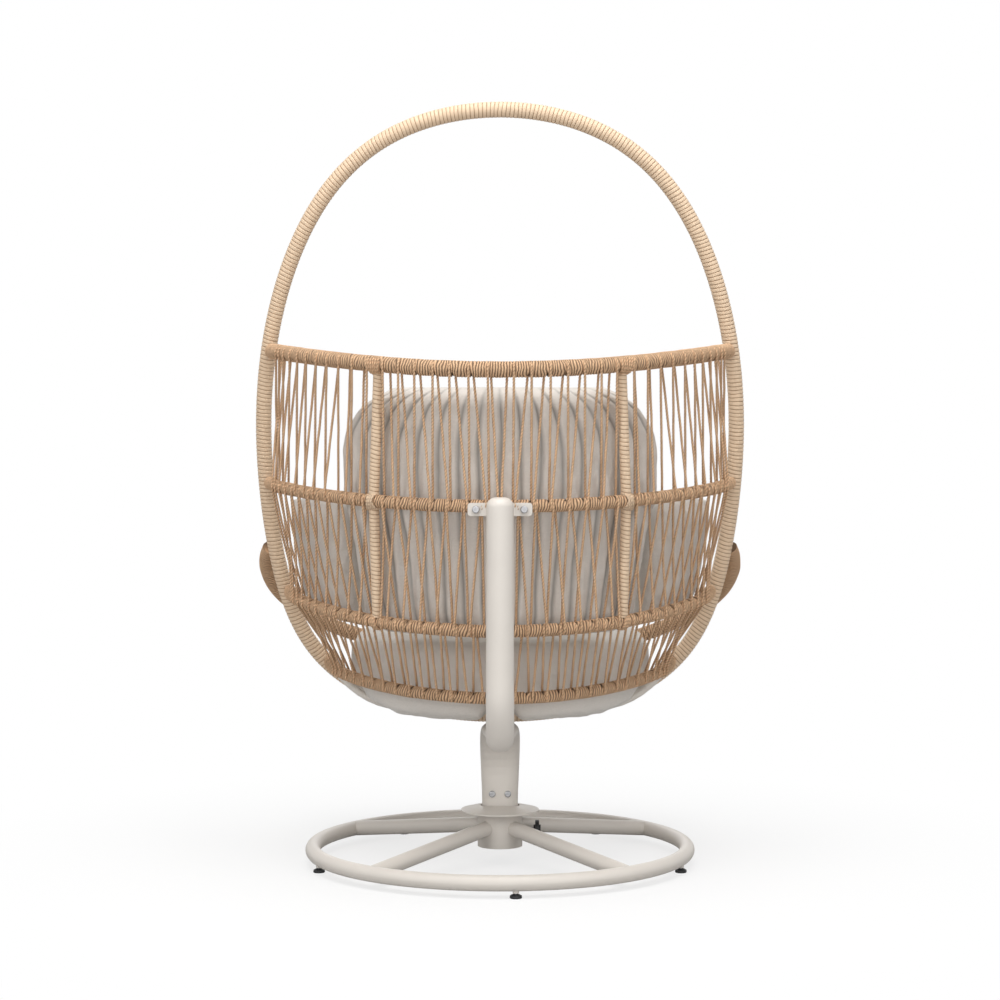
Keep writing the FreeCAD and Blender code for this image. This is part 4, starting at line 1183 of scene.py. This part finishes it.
class EGG_OT_stage(bpy.types.Operator):
    """Floor, soft lights and camera"""

    bl_idname = "egg_chair.stage"
    bl_label = "Stage"

    def execute(self, context):
        scene = context.scene
        scene.view_settings.view_transform = "Standard"
        self.floor()
        self.world(scene)
        for lamp in LAMPS:
            self.lamp(*lamp)
        camera = add_object("Camera", bpy.data.cameras.new("Camera"))
        camera.data.lens = CAMERA_LENS
        camera.data.sensor_width = SENSOR_WIDTH
        camera.location = (0, CAMERA_BACK, CAMERA_HEIGHT)
        camera.rotation_euler = (math.radians(90 - CAMERA_TILT), 0, math.pi)
        scene.camera = camera
        return {"FINISHED"}

    @staticmethod
    def lamp(name, place, target, size, power):
        data = bpy.data.lights.new(name, "AREA")
        data.shape = "DISK"
        data.size = size
        data.energy = power
        obj = add_object(name, data)
        obj.location = place
        obj.rotation_euler = (Vector(target) - Vector(place)).to_track_quat("-Z", "Y").to_euler()

    @staticmethod
    def floor():
        """A pale floor: diffuse for every ray, and fading to plain white for the camera away from the chair."""
        mesh = bpy.data.meshes.new("floor")
        corners = [(x * FLOOR_HALF, y * FLOOR_HALF, 0) for x, y in ((-1, -1), (1, -1), (1, 1), (-1, 1))]
        mesh.from_pydata(corners, [], [(0, 1, 2, 3)])
        material, tree, shader = principled("Pale floor", roughness=0.9, specular=0.1)
        seen = add_node(tree, "ShaderNodeLightPath", output="Is Camera Ray")
        plug(mix_color(seen, FLOOR_UNSEEN, FLOOR_SEEN), shader.inputs["Base Color"])
        place = add_node(tree, "ShaderNodeTexCoord", output="Object")
        away = add_node(tree, "ShaderNodeVectorMath", {0: place}, "Value", operation="LENGTH")
        fade = seen * map_range(away, FADE_DISTANCE, FADE_SHARE, "SMOOTHSTEP")
        white = add_node(tree, "ShaderNodeEmission")
        mixed = add_node(tree, "ShaderNodeMixShader", {0: fade, 1: Output(shader.outputs["BSDF"]), 2: white})
        plug(mixed, tree.nodes["Material Output"].inputs["Surface"])
        mesh.materials.append(material)
        obj = add_object("floor", mesh)

    @staticmethod
    def world(scene):
        """White for the camera, mirrors and glass, and a dimmer light for every other ray."""
        world = bpy.data.worlds.new("Studio")
        world.use_nodes = True
        tree = world.node_tree
        back = tree.nodes["Background"]
        plug((1, 1, 1), back.inputs["Color"])
        camera, glossy, through = (
            add_node(tree, "ShaderNodeLightPath", output=ray)
            for ray in ("Is Camera Ray", "Is Glossy Ray", "Is Transmission Ray")
        )
        seen = math_node("MAXIMUM", math_node("MAXIMUM", camera, glossy), through)
        plug(map_range(seen, (0.0, 1.0), (WORLD_STRENGTH, 1.0)), back.inputs["Strength"])
        scene.world = world


class EGG_PT_panel(bpy.types.Panel):
    """Egg chair pieces"""

    bl_idname = "EGG_PT_panel"
    bl_label = "Egg Chair"
    bl_space_type = "VIEW_3D"
    bl_region_type = "UI"
    bl_category = "Egg Chair"

    def draw(self, context):
        for operator in OPERATORS:
            self.layout.operator(operator.bl_idname)


OPERATORS = (EGG_OT_stand, EGG_OT_hoop, EGG_OT_rails, EGG_OT_ropes, EGG_OT_back, EGG_OT_seat, EGG_OT_stage)
SETTINGS = {
    "egg_chair_weave": EggChairWeave,
    "egg_chair_cushions": EggChairCushions,
    "egg_chair_stand": EggChairStand,
}


def register():
    for cls in (*SETTINGS.values(), *OPERATORS, EGG_PT_panel):
        bpy.utils.register_class(cls)
    for name, cls in SETTINGS.items():
        setattr(bpy.types.Scene, name, bpy.props.PointerProperty(type=cls))


def unregister():
    for name in SETTINGS:
        delattr(bpy.types.Scene, name)
    for cls in reversed((*SETTINGS.values(), *OPERATORS, EGG_PT_panel)):
        bpy.utils.unregister_class(cls)


def main():
    register()
    for operator in OPERATORS:
        category, name = operator.bl_idname.split(".")
        getattr(getattr(bpy.ops, category), name)()


if __name__ == "__main__":
    main()
